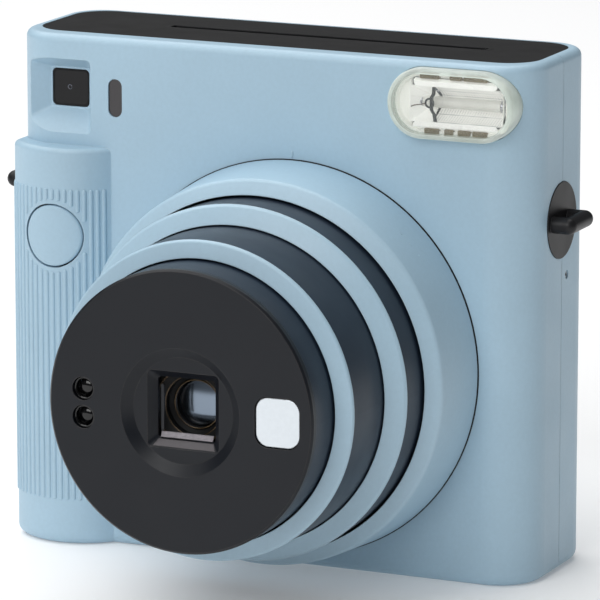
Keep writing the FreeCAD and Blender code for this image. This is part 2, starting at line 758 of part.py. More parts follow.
def make_flash():
    cover_ys = ("-flash_proud", 4.6)
    outer = rounded(
        "flash_cover_round",
        stadium("cover_block", ("flash_left", "flash_right"), cover_ys, ("flash_low", "flash_high")),
        (0.9, lambda bb: bb.YMax < -size("flash_proud") + 0.01),
    )
    inner = stadium(
        "flash_cover_hollow",
        ("flash_left + 1.2", "flash_right - 1.2"),
        ("-flash_proud + 1.2", 6),
        ("flash_low + 1.2", "flash_high - 1.2"),
    )
    piece("flash_cover", cut("flash_cover_cut", outer, inner))
    blank = rounded(
        "reflector_blank",
        box("reflector_box", (35.6, 58.0), (-1.2, 8.0), (103.7, 115.0)),
        (3.0, along_y),
    )
    trough = doc.addObject("Part::Cylinder", "reflector_trough")
    bind(trough, Radius=6.6, Height=20.6)
    place(trough, 36.5, -2.6, 109.35, TURNS["x"])
    tube_hole = rod("tube_hole", "x", (35, 2.4, 109.35), 1.45, 24)
    piece("flash_reflector", cut("flash_reflector_cut", blank, trough, tube_hole))
    piece("flash_tube", rod("tube_glass", "x", (37.9, 2.4, 109.35), 1.3, 18.6))
    left_cap = rod("tube_cap_left", "x", (36.4, 2.4, 109.35), 1.4, 1.5)
    right_cap = rod("tube_cap_right", "x", (56.5, 2.4, 109.35), 1.4, 1.4)
    piece("flash_tube_caps", fuse("tube_cap_pair", left_cap, right_cap))
    can = rod("capacitor_rod", "z", (56.8, 12, 18), 5.0, 32)
    piece("flash_capacitor", rounded("capacitor_can", can, (0.8, lambda bb: bb.ZLength < 0.01)))


# ---- film chamber, door and drive ----


def gear(node, teeth_alias, x, length, centre, bore, phase):
    """A spur gear about an axis along X; phase is the angle of one tooth, from +Y towards +Z."""
    teeth = int(size(teeth_alias))
    module = size("gear_module")
    pitch = module * teeth / 2
    base = pitch * math.cos(math.radians(20))
    root = pitch - 1.25 * module
    tip = pitch + 0.95 * module
    involute = math.tan(math.radians(20)) - math.radians(20)
    half_tooth = math.pi / (2 * teeth) - 0.05 / pitch + involute
    flank = []
    for step in range(5):
        radius = max(base, root) + (tip - max(base, root)) * step / 4
        roll = math.acos(min(1.0, base / radius))
        flank.append((radius, half_tooth - (math.tan(roll) - roll)))
    points = []
    for tooth in range(teeth):
        middle = phase + 2 * math.pi * tooth / teeth
        outline = [(root, -flank[0][1])] if root < base else []
        outline += [(radius, -angle) for radius, angle in flank]
        outline += [(radius, angle) for radius, angle in reversed(flank)]
        outline += [(root, flank[0][1])] if root < base else []
        points += [(radius, middle + angle) for radius, angle in outline]
    y, z = centre
    ring = [Vector(x, y + r * math.cos(a), z + r * math.sin(a)) for r, a in points]
    blank = Part.Face(Part.makePolygon(ring + ring[:1])).extrude(Vector(length, 0, 0))
    hole = Part.makeCylinder(bore, length, Vector(x, y, z), Vector(1, 0, 0))
    thing = doc.addObject("Part::Feature", node + "_gear")
    thing.Shape = blank.cut(hole)
    return piece(node, thing)


def mesh_phase(phase, teeth, other_teeth, direction):
    """The tooth angle of a gear that meshes with another, which lies the other way along direction."""
    offset = ((direction - phase) / (2 * math.pi / teeth)) % 1.0
    return direction + math.pi - (0.5 - offset) * 2 * math.pi / other_teeth


def make_drive():
    module = size("gear_module")
    front_y = size("film_y") - size("roller_pitch") / 2
    rear_y = size("film_y") + size("roller_pitch") / 2
    roller_z = size("roller_z")
    idler = (front_y + 4.0, roller_z - 15.7)
    pinion = (idler[0], idler[1] - module * (size("idler_teeth") + size("pinion_teeth")) / 2)
    shafts = (("front_roller", front_y, -40.5, 91.4), ("rear_roller", rear_y, -36.6, 87.5))
    for node, y, x, length in shafts:
        body = rod(node + "_body", "x", (-33.0, y, "roller_z"), "roller_radius", 78.5)
        shaft = rod(node + "_shaft", "x", (x, y, "roller_z"), "shaft_radius", length)
        piece(node, fuse(node + "_set", body, shaft))
    bore = size("shaft_radius")
    to_pinion = -math.pi / 2
    to_idler = math.atan2(idler[1] - roller_z, idler[0] - front_y)
    drive_phase = 0.0
    idler_phase = mesh_phase(drive_phase, size("drive_teeth"), size("idler_teeth"), to_idler)
    pinion_phase = mesh_phase(idler_phase, size("idler_teeth"), size("pinion_teeth"), to_pinion)
    sync_phase = mesh_phase(0.0, size("sync_teeth"), size("sync_teeth"), 0.0)
    gear("roller_drive_gear", "drive_teeth", -40.3, 3.0, (front_y, roller_z), bore, drive_phase)
    gear("reduction_gear", "idler_teeth", -40.3, 3.0, idler, 1.06, idler_phase)
    gear("motor_pinion", "pinion_teeth", -40.3, 3.0, pinion, 0.75, pinion_phase)
    gear("front_sync_gear", "sync_teeth", 48.8, 2.0, (front_y, roller_z), bore, 0.0)
    gear("rear_sync_gear", "sync_teeth", 48.8, 2.0, (rear_y, roller_z), bore, sync_phase)
    can = rod("motor_can", "x", (-59.5, pinion[0], pinion[1]), 7.5, 18.3)
    nose = rod("motor_nose", "x", (-41.3, pinion[0], pinion[1]), 2.5, 0.6)
    piece("eject_motor", fuse("motor_set", can, nose))
    ys, zs = (12.5, 31.5), (99.8, 112.4)
    plates = [box(f"roller_plate_{i}", (x, x + 1.5), ys, zs) for i, x in enumerate((-36.4, 46.9))]
    xs, zs = (-35.5, 47.5), (110.9, 112.4)
    bars = [box(f"roller_bar_{i}", xs, (y, y + 1.3), zs) for i, y in enumerate((12.5, 30.2))]
    bore = "shaft_radius + running"
    bores = [rod(f"roller_bore_{i}", "x", (-38, y, "roller_z"), bore, 90) for i, y in enumerate((front_y, rear_y))]
    piece("roller_frame", cut("roller_frame_cut", fuse("roller_frame_blank", *plates, *bars), *bores))
    return idler


def make_film_chamber(idler):
    block = box(
        "chamber_block",
        ("chamber_left", "chamber_right"),
        (18.0, 34.8),
        ("chamber_low", "chamber_high"),
    )
    hollow = box(
        "chamber_hollow",
        ("chamber_left + 2.5", "chamber_right - 2.5"),
        (20.0, 36),
        ("chamber_low + 2", "chamber_high - 2"),
    )
    tools = [
        hollow,
        box("picture_window", ("lens_x - 31", "lens_x + 31"), (17, 21), ("lens_z - 31", "lens_z + 31")),
        box("film_exit", ("slot_low", "slot_high"), ("slot_front", "slot_front + slot_width"), (96, 101)),
        box("claw_slot", (-38, -33), (21.5, 24.5), (19.5, 32.5)),
    ]
    axle = rod("reduction_axle", "x", (-41.2, idler[0], idler[1]), 1.0, 5.5)
    piece("film_chamber", fuse("film_chamber_set", cut("film_chamber_cut", block, *tools), axle))
    strip = box("claw_strip", (-38.0, -37.2), (20.0, 26.0), (20.3, 60))
    hook = box("claw_hook", (-37.3, -33.3), (22.0, 24.0), (20.3, 21.6))
    piece("film_claw", fuse("film_claw_set", strip, hook))


def make_film_door():
    panel = rounded(
        "door_panel",
        box("door_panel_box", ("door_left", "door_right"), (35.6, "body_depth"), ("door_low", "door_high")),
        (2.7, lambda bb: along_y(bb) and bb.XMax < 0),
        (0.5, lambda bb: bb.YMin > size("body_depth") - 0.01),
    )
    knuckle = rod("door_knuckle", "z", ("hinge_x", "hinge_y", 18.4), 1.6, 71.2)
    arm = box("door_arm", ("door_right - 1", "hinge_x"), ("hinge_y - 0.6", "hinge_y + 1.2"), (18.4, 89.6))
    tools = [
        rod("door_pin_bore", "z", ("hinge_x", "hinge_y", 17), "0.8 + running", 74),
        box("latch_pocket", (-36.2, -29.2), (36.4, 39), (44, 64)),
        box("pack_opening", (0, 12), (35, 39), (88, 94)),
    ]
    blank = fuse("door_blank", panel, knuckle, arm)
    piece("film_door", cut("film_door_cut", blank, *tools))
    piece("door_hinge_pin", rod("door_pin", "z", ("hinge_x", "hinge_y", 8), 0.8, 92))
    piece("pack_window", box("pack_window_box", (0.05, 11.95), (36.2, 37.7), (88.05, 93.95)))
    frame = cut(
        "seal_frame",
        box("seal_outer", ("chamber_left + 0.3", "chamber_right - 0.3"), (35.05, 35.6), (6.8, 99)),
        box("seal_inner", ("chamber_left + 2.3", "chamber_right - 2.3"), (34, 37), (8.8, 97)),
    )
    piece("light_seal", frame)
    springs = []
    for i, z in enumerate((34, 68)):
        leaf = doc.addObject("Part::Feature", f"pressure_spring_{i}")
        start, middle, end = Vector(-24, 35.2, z), Vector(6, 33.2, z), Vector(36, 35.2, z)
        lower = Part.Arc(start, middle, end).toShape()
        step = Vector(0, 0.4, 0)
        upper = Part.Arc(end + step, middle + step, start + step).toShape()
        sides = [Part.makeLine(end, end + step), Part.makeLine(start + step, start)]
        leaf.Shape = Part.Face(Part.Wire([lower, sides[0], upper, sides[1]])).extrude(Vector(0, 0, 8))
        springs.append(leaf)
    piece("pressure_springs", fuse("pressure_spring_pair", *springs))
    knob = rounded(
        "latch_knob",
        box("latch_knob_box", (-35.9, -29.5), (36.5, 38.05), (53.6, 63.6)),
        (0.8, along_y),
    )
    piece("door_latch", knob)


def make_battery_bay():
    door = box("battery_panel", (f"-{SIDE}", f"-{SIDE} + 1.7"), (5.8, 22.2), (6.3, 63.7))
    knuckle = rod("battery_door_knuckle", "z", ("battery_hinge_x", "battery_hinge_y", 12.5), 0.95, 45.0)
    arm_xs = ("battery_hinge_x - 0.6", "battery_hinge_x + 0.6")
    arm = box("battery_door_arm", arm_xs, (21.8, "battery_hinge_y"), (12.5, 57.5))
    trunnions = rod("battery_trunnions", "z", ("battery_hinge_x", "battery_hinge_y", 7), 0.5, 56)
    piece("battery_door", fuse("battery_door_set", door, knuckle, arm, trunnions))
    tray = cut(
        "tray_cut",
        box("tray_block", (-61.6, -45.0), (5.0, 23.0), (5.2, 64.6)),
        box("tray_hollow", (-62.0, -46.2), (6.1, 21.9), (6.4, 63.4)),
    )
    piece("battery_holder", tray)
    cells = [
        rounded(
            f"cell_round_{i}",
            rod(f"cell_{i}", "z", ("cell_x", "cell_y", low), "cell_radius", "cell_length"),
            (0.7, lambda bb: bb.ZLength < 0.01),
        )
        for i, low in enumerate((7.9, "7.9 + cell_length"))
    ]
    group = doc.addObject("Part::Compound", "cell_pair")
    group.Links = cells
    piece("battery_cells", group)
    contacts = []
    for i, (plate_low, button_low) in enumerate(((6.4, 6.9), (62.9, 61.9))):
        plate = box(f"contact_plate_{i}", (-60, -48), (8, 20), (plate_low, plate_low + 0.5))
        button = rod(f"contact_button_{i}", "z", ("cell_x", "cell_y", button_low), 3.0, 1.0)
        contacts.append(fuse(f"contact_{i}", plate, button))
    piece("battery_contacts", fuse("battery_contact_pair", *contacts))


def make_board_and_counter():
    board = box("board_sheet", (53.0, 54.2), (22.0, 34.0), (8, 98))
    layout = [
        (24, 16, 8, 10, 1.4),
        (25, 40, 6, 6, 1.2),
        (24, 60, 8, 14, 3.5),
        (25, 84, 5, 8, 2.0),
    ]
    chips = []
    for i, (y, z, width, length, height) in enumerate(layout):
        chips.append(box(f"chip_{i}", (54.1, 54.1 + height), (y, y + width), (z, z + length)))
    piece("main_board", fuse("main_board_set", board, *chips))
    piece("counter_window", rod("counter_glass", "y", (34, 36.6, 108), 3.95, 1.2))
    disc = rod("counter_plate", "y", (34, 34.6, 108), 6.0, 0.8)
    hub = rod("counter_hub", "y", (34, 33.2, 108), 1.5, 1.5)
    piece("counter_disc", fuse("counter_disc_set", disc, hub))


def build():
    outer = body_block("outer", 0.0)
    inner = body_block("inner", size("wall"))
    make_front_shell(outer, inner)
    make_rear_shell(outer, inner)
    make_casing_trim()
    make_strap_lug("strap_lug_right", 1, "reach_right")
    make_strap_lug("strap_lug_left", -1, "reach_left")
    make_dial()
    make_barrel("outer_barrel", "barrel_a", "-28.37", "6.0", None, "outer_trim_ring", 36.23, "front_a", 0.24)
    make_barrel("middle_barrel", "barrel_b", "-46.86", "-11.1", 38.0, "middle_trim_ring", 32.01, "front_b", 0.01)
    make_inner_barrel()
    make_front_plate()
    make_lens_cell()
    make_cover_blades()
    make_shutter_blades()
    make_shutter_button()
    make_finder()
    make_flash()
    idler = make_drive()
    make_film_chamber(idler)
    make_film_door()
    make_battery_bay()
    make_board_and_counter()


def export():
    """Checks every object and writes one STEP file for each piece."""
    doc.recompute()
    for thing in doc.Objects:
        if {"Invalid", "Error"} & set(thing.State):
            raise RuntimeError(f"{thing.Label}: {thing.State}")
    os.makedirs("parts", exist_ok=True)
    for thing in PIECES:
        shape = thing.Shape
        if shape.isNull() or not shape.isValid() or shape.Volume < 0.1:
            raise RuntimeError(f"{thing.Label}: no valid solid")
        print(thing.Label, "solids", len(shape.Solids), "volume", round(shape.Volume, 1))
    for thing in PIECES:
        shape = thing.Shape.copy()
        shape.translate(Vector(0, -size("origin_y"), 0))
        shape.exportStep(f"parts/{thing.Label}.step")


build()
export()
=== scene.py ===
import math
from collections import namedtuple

import bmesh
import bpy
from mathutils import Matrix, Vector


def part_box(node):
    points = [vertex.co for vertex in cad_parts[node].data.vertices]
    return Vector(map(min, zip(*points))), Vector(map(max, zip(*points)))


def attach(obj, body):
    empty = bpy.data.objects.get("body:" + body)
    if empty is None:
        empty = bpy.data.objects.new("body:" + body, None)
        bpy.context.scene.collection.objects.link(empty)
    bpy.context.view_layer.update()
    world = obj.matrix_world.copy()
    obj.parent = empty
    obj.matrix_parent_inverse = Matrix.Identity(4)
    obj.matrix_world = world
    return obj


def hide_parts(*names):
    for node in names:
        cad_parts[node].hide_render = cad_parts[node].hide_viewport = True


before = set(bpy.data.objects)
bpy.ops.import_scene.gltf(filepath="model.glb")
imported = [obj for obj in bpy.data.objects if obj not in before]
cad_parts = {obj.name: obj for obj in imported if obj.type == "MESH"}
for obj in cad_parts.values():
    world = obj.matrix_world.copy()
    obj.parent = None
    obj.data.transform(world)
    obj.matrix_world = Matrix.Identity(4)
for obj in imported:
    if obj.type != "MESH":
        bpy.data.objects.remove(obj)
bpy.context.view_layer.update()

# The looks of a square-format instant camera. Shapes are drawn in millimetres from the point of the base
# under the middle of the body's front face: +x right, +y to the rear, +z up.

MM = 0.001
FRONT_FACE = -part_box("rear_shell")[1].y  # the frame's y = 0 is halfway through the body

Span = namedtuple("Span", "low high middle")


def at(x, y, z):
    """A point of the drawing, in the frame's metres."""
    return Vector((x * MM, FRONT_FACE + y * MM, z * MM))


def span(node):
    """A CAD node's lowest and highest corner and their middle, in the drawing's millimetres."""
    low, high = ((corner - Vector((0, FRONT_FACE, 0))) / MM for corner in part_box(node))
    return Span(low, high, (low + high) / 2)


BODY = span("rear_shell")
DIAL = span("lens_dial")
PLATE = span("front_plate")
LENS_X, LENS_Z = DIAL.middle.x, DIAL.middle.z
DIAL_RADIUS = 45.43


# ---- shader nodes ----

MOST_NOISE = (0.3, 0.7)  # where most of a noise's values lie


def node(tree, kind, inputs=None, **settings):
    """A shader node; an input is a plain value or another node's output."""
    made = tree.nodes.new("ShaderNode" + kind)
    for name, value in settings.items():
        setattr(made, name, value)
    for socket, value in (inputs or {}).items():
        if isinstance(value, bpy.types.NodeSocket):
            tree.links.new(value, made.inputs[socket])
        else:
            made.inputs[socket].default_value = value
    return made


def colour(red, green, blue):
    """A display colour, 0 to 255, as the shader's linear colour."""
    def linear(part):
        part /= 255
        return part / 12.92 if part <= 0.04045 else ((part + 0.055) / 1.055) ** 2.4

    return (linear(red), linear(green), linear(blue), 1.0)


def own_place(tree):
    """The piece's own coordinates."""
    return node(tree, "TexCoord").outputs["Object"]


def noise(tree, size, detail, stretch=(1, 1, 1)):
    """Noise whose cells are size millimetres wide, longer by stretch along each axis."""
    scale = tuple(1 / part for part in stretch)
    place = node(tree, "Mapping", {"Vector": own_place(tree), "Scale": scale}).outputs[0]
    cells = {"Vector": place, "Scale": 1 / (size * MM), "Detail": detail}
    return node(tree, "TexNoise", cells).outputs["Fac"]


def ranged(tree, value, source, target):
    """A value carried from its source range to the target range and held inside it."""
    inputs = {"Value": value, "From Min": source[0], "From Max": source[1]}
    inputs.update({"To Min": target[0], "To Max": target[1]})
    return node(tree, "MapRange", inputs).outputs[0]


def mixed(tree, factor, first, second):
    """Two colours mixed; factor, first and second are values or outputs."""
    return node(tree, "Mix", {0: factor, 6: first, 7: second}, data_type="RGBA").outputs[2]


def times(tree, first, second):
    """The product of two values."""
    return node(tree, "Math", {0: first, 1: second}, operation="MULTIPLY").outputs[0]


def shaded(tree, base, value):
    """A colour made lighter or darker by a value."""
    return node(tree, "HueSaturation", {"Color": base, "Value": value}).outputs[0]


def blank(name, **sockets):
    """A new material and its tree; sockets are the Principled shader's plain values."""
    material = bpy.data.materials.new(name)
    material.use_nodes = True
    shader = material.node_tree.nodes["Principled BSDF"]
    for socket, value in sockets.items():
        shader.inputs[socket.replace("_", " ")].default_value = value
    return material, material.node_tree, shader


def feed(tree, shader, **outputs):
    """Links outputs to the shader's sockets of those names."""
    for socket, output in outputs.items():
        tree.links.new(output, shader.inputs[socket.replace("_", " ")])


def relief(tree, shader, height, depth, **normal):
    """Relief of a depth in millimetres, on the flat surface or on the Normal that is given."""
    bump = {"Strength": 1.0, "Distance": depth * MM, "Height": height, **normal}
    feed(tree, shader, Normal=node(tree, "Bump", bump).outputs[0])


def edge_mask(tree, rounding):
    """Normals rounded at the edges by so many millimetres, and a mask of those edges."""
    soft = node(tree, "Bevel", {"Radius": rounding * MM}, samples=4).outputs[0]
    flat = node(tree, "NewGeometry").outputs["Normal"]
    agreement = node(tree, "VectorMath", {0: soft, 1: flat}, operation="DOT_PRODUCT").outputs["Value"]
    return soft, ranged(tree, agreement, (0.995, 0.85), (0.0, 1.0))


def surface(
    name, base, roughness, edge_wear_and_highlight=None, drift=0.03, smudge=0.05, grain=(0.45, 0.006), rounding=0.25, **sockets
):
    """A moulded or machined surface: slow drift in its colour, uneven gloss, grain and softened edges.

    grain is the size and depth of its relief in millimetres; the edge colour given after the roughness is
    that of rubbed edges and also paints a highlight along them.
    """
    material, tree, shader = blank(name, **sockets)
    shade = ranged(tree, noise(tree, 28, 3), MOST_NOISE, (1 - drift, 1 + drift))
    speck = ranged(tree, noise(tree, 0.9, 1), MOST_NOISE, (1 - drift / 2, 1 + drift / 2))
    tone = shaded(tree, base, times(tree, shade, speck))
    soft, edges = edge_mask(tree, rounding)
    # Edges lightened towards the edge colour: partly rubbed wear, partly a painted highlight along the edges.
    if edge_wear_and_highlight:
        rubbed_and_highlit = times(tree, edges, ranged(tree, noise(tree, 5, 3), (0.35, 0.65), (0.15, 0.75)))
        tone = mixed(tree, rubbed_and_highlit, tone, edge_wear_and_highlight)
    gloss = ranged(tree, noise(tree, 11, 4), MOST_NOISE, (roughness - smudge, roughness + smudge))
    feed(tree, shader, Base_Color=tone, Roughness=gloss)
    size, depth = grain
    relief(tree, shader, noise(tree, size, 2), depth, Normal=soft)
    return material


def brushed(name, base, roughness, axis):
    """Metal with fine drawn lines along an axis."""
    material, tree, shader = blank(name, Metallic=1.0)
    stretch = [1.0, 1.0, 1.0]
    stretch["xyz".index(axis)] = 60.0
    lines = noise(tree, 0.25, 2, stretch)
    shade = ranged(tree, lines, MOST_NOISE, (0.88, 1.06))
    gloss = ranged(tree, lines, MOST_NOISE, (roughness - 0.06, roughness + 0.08))
    feed(tree, shader, Base_Color=shaded(tree, base, shade), Roughness=gloss)
    soft, _ = edge_mask(tree, 0.12)
    relief(tree, shader, lines, 0.002, Normal=soft)
    return material


def clear(name, tint, haze, body, roughness=0.04, **sockets):
    """Thin clear plastic or glass: what is behind it shows through, tinted, and its gloss grows at its edges.

    haze is the share of its own colour, body, that it shows face on.
    """
    index = 1.5
    material, tree, shader = blank(name, Base_Color=body, Roughness=roughness, IOR=index, **sockets)
    through = node(tree, "BsdfTransparent", {"Color": tint}).outputs[0]
    sheen = node(tree, "Fresnel", {"IOR": index}).outputs[0]
    cloud = ranged(tree, noise(tree, 6, 3), MOST_NOISE, (haze * 0.8, haze * 1.2))
    share = node(tree, "Math", {0: sheen, 1: cloud}, operation="ADD", use_clamp=True).outputs[0]
    relief(tree, shader, noise(tree, 3.0, 1), 0.004)
    mix = node(tree, "MixShader", {0: share, 1: through, 2: shader.outputs[0]})
    tree.links.new(mix.outputs[0], tree.nodes["Material Output"].inputs["Surface"])
    return material


def lined_foil(name):
    """The reflector's foil with a fine grid of folds across and along it: painted shade in the folds, a
    near-white colour that stands in for its reflection of the white surroundings, and a painted glow.
    """
    fold_pitch, fold_height, fold_width = 0.62, 1.3, 0.09
    material, tree, shader = blank(name, Roughness=0.28, **PAINTED_GLOW)
    place = node(tree, "SeparateXYZ", {0: own_place(tree)})
    flat = node(tree, "CombineXYZ", {"X": place.outputs["X"], "Y": place.outputs["Z"]}).outputs[0]
    cells = {"Vector": flat, "Scale": 1 / MM, "Mortar Size": fold_width, "Mortar Smooth": 0.4}
    cells.update({"Brick Width": fold_pitch, "Row Height": fold_height})
    folds = node(tree, "TexBrick", cells, offset=0.0).outputs["Fac"]
    cloud = ranged(tree, noise(tree, 3.5, 3), (0.35, 0.65), (0.35, 0.9))
    # Near-white foil with painted shade in its folds, darker where the fold grid and a noise meet.
    shade = mixed(tree, times(tree, folds, cloud), colour(250, 250, 246), colour(96, 108, 112))
    feed(tree, shader, Base_Color=shade)
    relief(tree, shader, folds, 0.02)
    return material


def circuit_board(name):
    """Green solder mask with paler copper tracks under it and a few bare pads."""
    pattern_scale, gap = 420.0, 0.03
    material, tree, shader = blank(name, Roughness=0.35, Coat_Weight=0.4)
    cells = {"Vector": own_place(tree), "Scale": pattern_scale, "Mortar Size": gap}
    tracks = node(tree, "TexBrick", cells).outputs["Fac"]
    pads = ranged(tree, noise(tree, 1.6, 0), (0.66, 0.68), (0.0, 1.0))
    green = mixed(tree, tracks, colour(22, 84, 52), colour(52, 128, 80))
    feed(tree, shader, Base_Color=mixed(tree, pads, green, colour(190, 180, 150)), Metallic=pads)
    relief(tree, shader, tracks, 0.03)
    return material


def wrapped_cell(name):
    """The sleeve of a battery: a dark band under a silver one, lightly scuffed."""
    cell_length, band_top, blend = 27 * MM, 18 * MM, 0.2 * MM
    material, tree, shader = blank(name, Roughness=0.28, Coat_Weight=0.5)
    height = node(tree, "SeparateXYZ", {0: own_place(tree)}).outputs["Z"]
    cell = node(tree, "Math", {0: height, 1: cell_length}, operation="MODULO").outputs[0]
    band = ranged(tree, cell, (band_top - blend, band_top), (0.0, 1.0))
    scuff = ranged(tree, noise(tree, 2.0, 4), (0.4, 0.7), (0.0, 0.25))
    sleeve = mixed(tree, band, colour(38, 44, 58), colour(178, 182, 188))
    scuffed = mixed(tree, scuff, sleeve, colour(120, 124, 132))
    feed(tree, shader, Base_Color=scuffed, Metallic=times(tree, band, 0.8))
    relief(tree, shader, noise(tree, 1.2, 3), 0.01)
    return material


# ---- finishes ----

BODY_BLUE = colour(167, 195, 212)
# Edge colours, here and in the finishes below, lighter than their bases: partly wear, partly a painted
# highlight along the edges.
BLUE_WEAR_AND_HIGHLIGHT = colour(200, 219, 230)
BLACK_WEAR_AND_HIGHLIGHT = colour(80, 81, 84)
DULL = {"Specular_IOR_Level": 0.3}
# A little metal and a painted glow, which lightens pieces that are no lamps.
PAINTED_GLOW = {"Metallic": 0.1, "Emission_Color": (1.0, 1.0, 0.97, 1.0), "Emission_Strength": 0.19}
# A painted glow that lightens the flash's milky rim where it faces away from the lights.
PAINTED_RIM_GLOW = {"Emission_Color": (0.8, 0.88, 0.84, 1.0), "Emission_Strength": 0.1}
FINISHES = {}


def keep(make, name, *looks, **settings):
    """Makes a finish and keeps it under its name."""
    FINISHES[name] = make(name, *looks, **settings)


def make_body_finishes():
    """The casing, the dial, the barrels and the front plate."""
    keep(surface, "body_blue", BODY_BLUE, 0.42, BLUE_WEAR_AND_HIGHLIGHT, rounding=0.3)
    keep(surface, "dial_blue", colour(169, 197, 214), 0.4, BLUE_WEAR_AND_HIGHLIGHT, rounding=0.3)
    keep(surface, "ring_blue", colour(168, 196, 213), 0.38, BLUE_WEAR_AND_HIGHLIGHT, rounding=0.3)
    keep(surface, "barrel_navy", colour(30, 40, 54), 0.36, colour(56, 70, 90), grain=(0.6, 0.004), **DULL)
    keep(surface, "plate_black", colour(19, 22, 28), 0.36, colour(84, 78, 74), grain=(0.35, 0.006), **DULL)
    matt = {"Specular_IOR_Level": 0.2}
    keep(surface, "panel_black", colour(14, 14, 15), 0.62, colour(66, 67, 70), grain=(0.4, 0.012), **matt)
    keep(surface, "lug_black", colour(24, 24, 26), 0.42, BLACK_WEAR_AND_HIGHLIGHT, grain=(0.5, 0.006), **DULL)
    keep(surface, "inner_black", colour(14, 14, 15), 0.6, colour(40, 40, 42), **DULL)


def make_glass_finishes():
    """Windows, lenses, the flash and the mirror."""
    window = {"smudge": 0.03, "grain": (3, 0.003), "rounding": 0.1}
    keep(surface, "dark_window", colour(34, 29, 33), 0.12, **window, Coat_Weight=0.4)
    finder = {"smudge": 0.02, "grain": (4, 0.003), "rounding": 0.1}
    keep(surface, "finder_glass", colour(6, 6, 9), 0.06, **finder, **DULL)
    lens = {"smudge": 0.01, "grain": (5, 0.001), "rounding": 0.05, "IOR": 2.1}
    keep(surface, "lens_glass", colour(20, 26, 38), 0.03, **lens, Coat_Weight=1.0)
    keep(clear, "flash_clear", (1, 1, 1, 1), 0.02, colour(240, 243, 240))
    keep(clear, "tube_glass", (0.98, 0.98, 0.96, 1), 0.45, colour(250, 250, 246), 0.08)
    foil = {"grain": (1.5, 0.004), "rounding": 0.1}
    # The reflector's near-white colour stands in for the polished foil's reflection of its white
    # surroundings; its glow is painted light.
    keep(surface, "reflector", colour(250, 250, 246), 0.28, colour(253, 253, 251), **foil, **PAINTED_GLOW)
    mirror = {"smudge": 0.015, "grain": (6, 0.0005), "rounding": 0.3}
    keep(surface, "mirror", colour(212, 218, 223), 0.05, **mirror, Metallic=1.0)


def make_works_finishes():
    """The metal, gears, foam and electrics, most of them inside."""
    keep(brushed, "steel", colour(176, 178, 182), 0.26, "x")
    keep(brushed, "blade_steel", colour(62, 63, 66), 0.42, "z")
    keep(brushed, "motor_steel", colour(150, 152, 156), 0.32, "x")
    keep(brushed, "brass", colour(200, 164, 96), 0.3, "x")
    keep(surface, "gear_white", colour(224, 222, 212), 0.4, colour(240, 240, 236), Subsurface_Weight=0.1)
    keep(surface, "capacitor_sleeve", colour(30, 30, 36), 0.22, BLACK_WEAR_AND_HIGHLIGHT, Coat_Weight=0.6)
    keep(surface, "foam", colour(30, 30, 32), 0.95, smudge=0.03, grain=(0.25, 0.08), Sheen_Weight=0.4)
    keep(wrapped_cell, "cell_wrap")
    keep(circuit_board, "board_green")
    keep(surface, "counter_white", colour(228, 226, 218), 0.4, grain=(0.6, 0.004))


def make_detail_finishes():
    """Finishes of the small pieces that have no slot of their own."""
    # The milky rim, lightened by a painted glow.
    keep(clear, "milky_rim", (0.97, 0.99, 0.97, 1), 0.38, colour(236, 242, 236), 0.1, **PAINTED_RIM_GLOW)
    keep(lined_foil, "lined_foil")
    eye = {"smudge": 0.02, "grain": (3, 0.002), "rounding": 0.05}
    keep(surface, "sensor_black", colour(6, 6, 8), 0.1, **eye)
    # The bed's pale colour is its own; its glow is painted light.
    keep(surface, "flash_bed", colour(228, 230, 222), 0.35, colour(240, 241, 236), rounding=0.15, **PAINTED_GLOW)
    keep(surface, "flash_catch", colour(124, 112, 84), 0.3, colour(184, 176, 150), drift=0.15)
    keep(surface, "flash_strap", colour(46, 52, 56), 0.4, colour(92, 98, 102), Metallic=0.3)
    keep(surface, "flash_wire", colour(86, 74, 66), 0.4, colour(150, 130, 110), Metallic=0.5)
    keep(surface, "window_frame", colour(30, 32, 36), 0.35, colour(70, 70, 74), **DULL)
    # The plate's black made lighter: a painted highlight of the top light on the slope under the window.
    keep(surface, "satin_bevel", colour(88, 84, 87), 0.34, colour(120, 116, 116), **DULL)
    crinkle = {"grain": (0.35, 0.12), "drift": 0.2}
    keep(surface, "crinkled", colour(130, 125, 130), 0.35, **crinkle, Metallic=0.3)
    keep(surface, "ring_gloss", colour(58, 48, 40), 0.2, colour(190, 160, 118), Metallic=0.6)
    coated = {"smudge": 0.02, "grain": (5, 0.0005), "rounding": 0.02}
    keep(surface, "coated_glass", colour(124, 136, 150), 0.17, **coated, Metallic=1.0)
    keep(surface, "target_grey", colour(128, 130, 140), 0.2, Metallic=0.3)


def dress_cad_nodes():
    """Gives the slots of the CAD's pieces the finishes of the same names."""
    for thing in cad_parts.values():
        for place in thing.material_slots:
            place.material = FINISHES[place.material.name.split(".")[0]]


# ---- mesh work ----

WELD = 0.0005  # points closer than this many millimetres become one
SOFTENED_FROM = 40  # degrees: only edges that turn by more are rounded


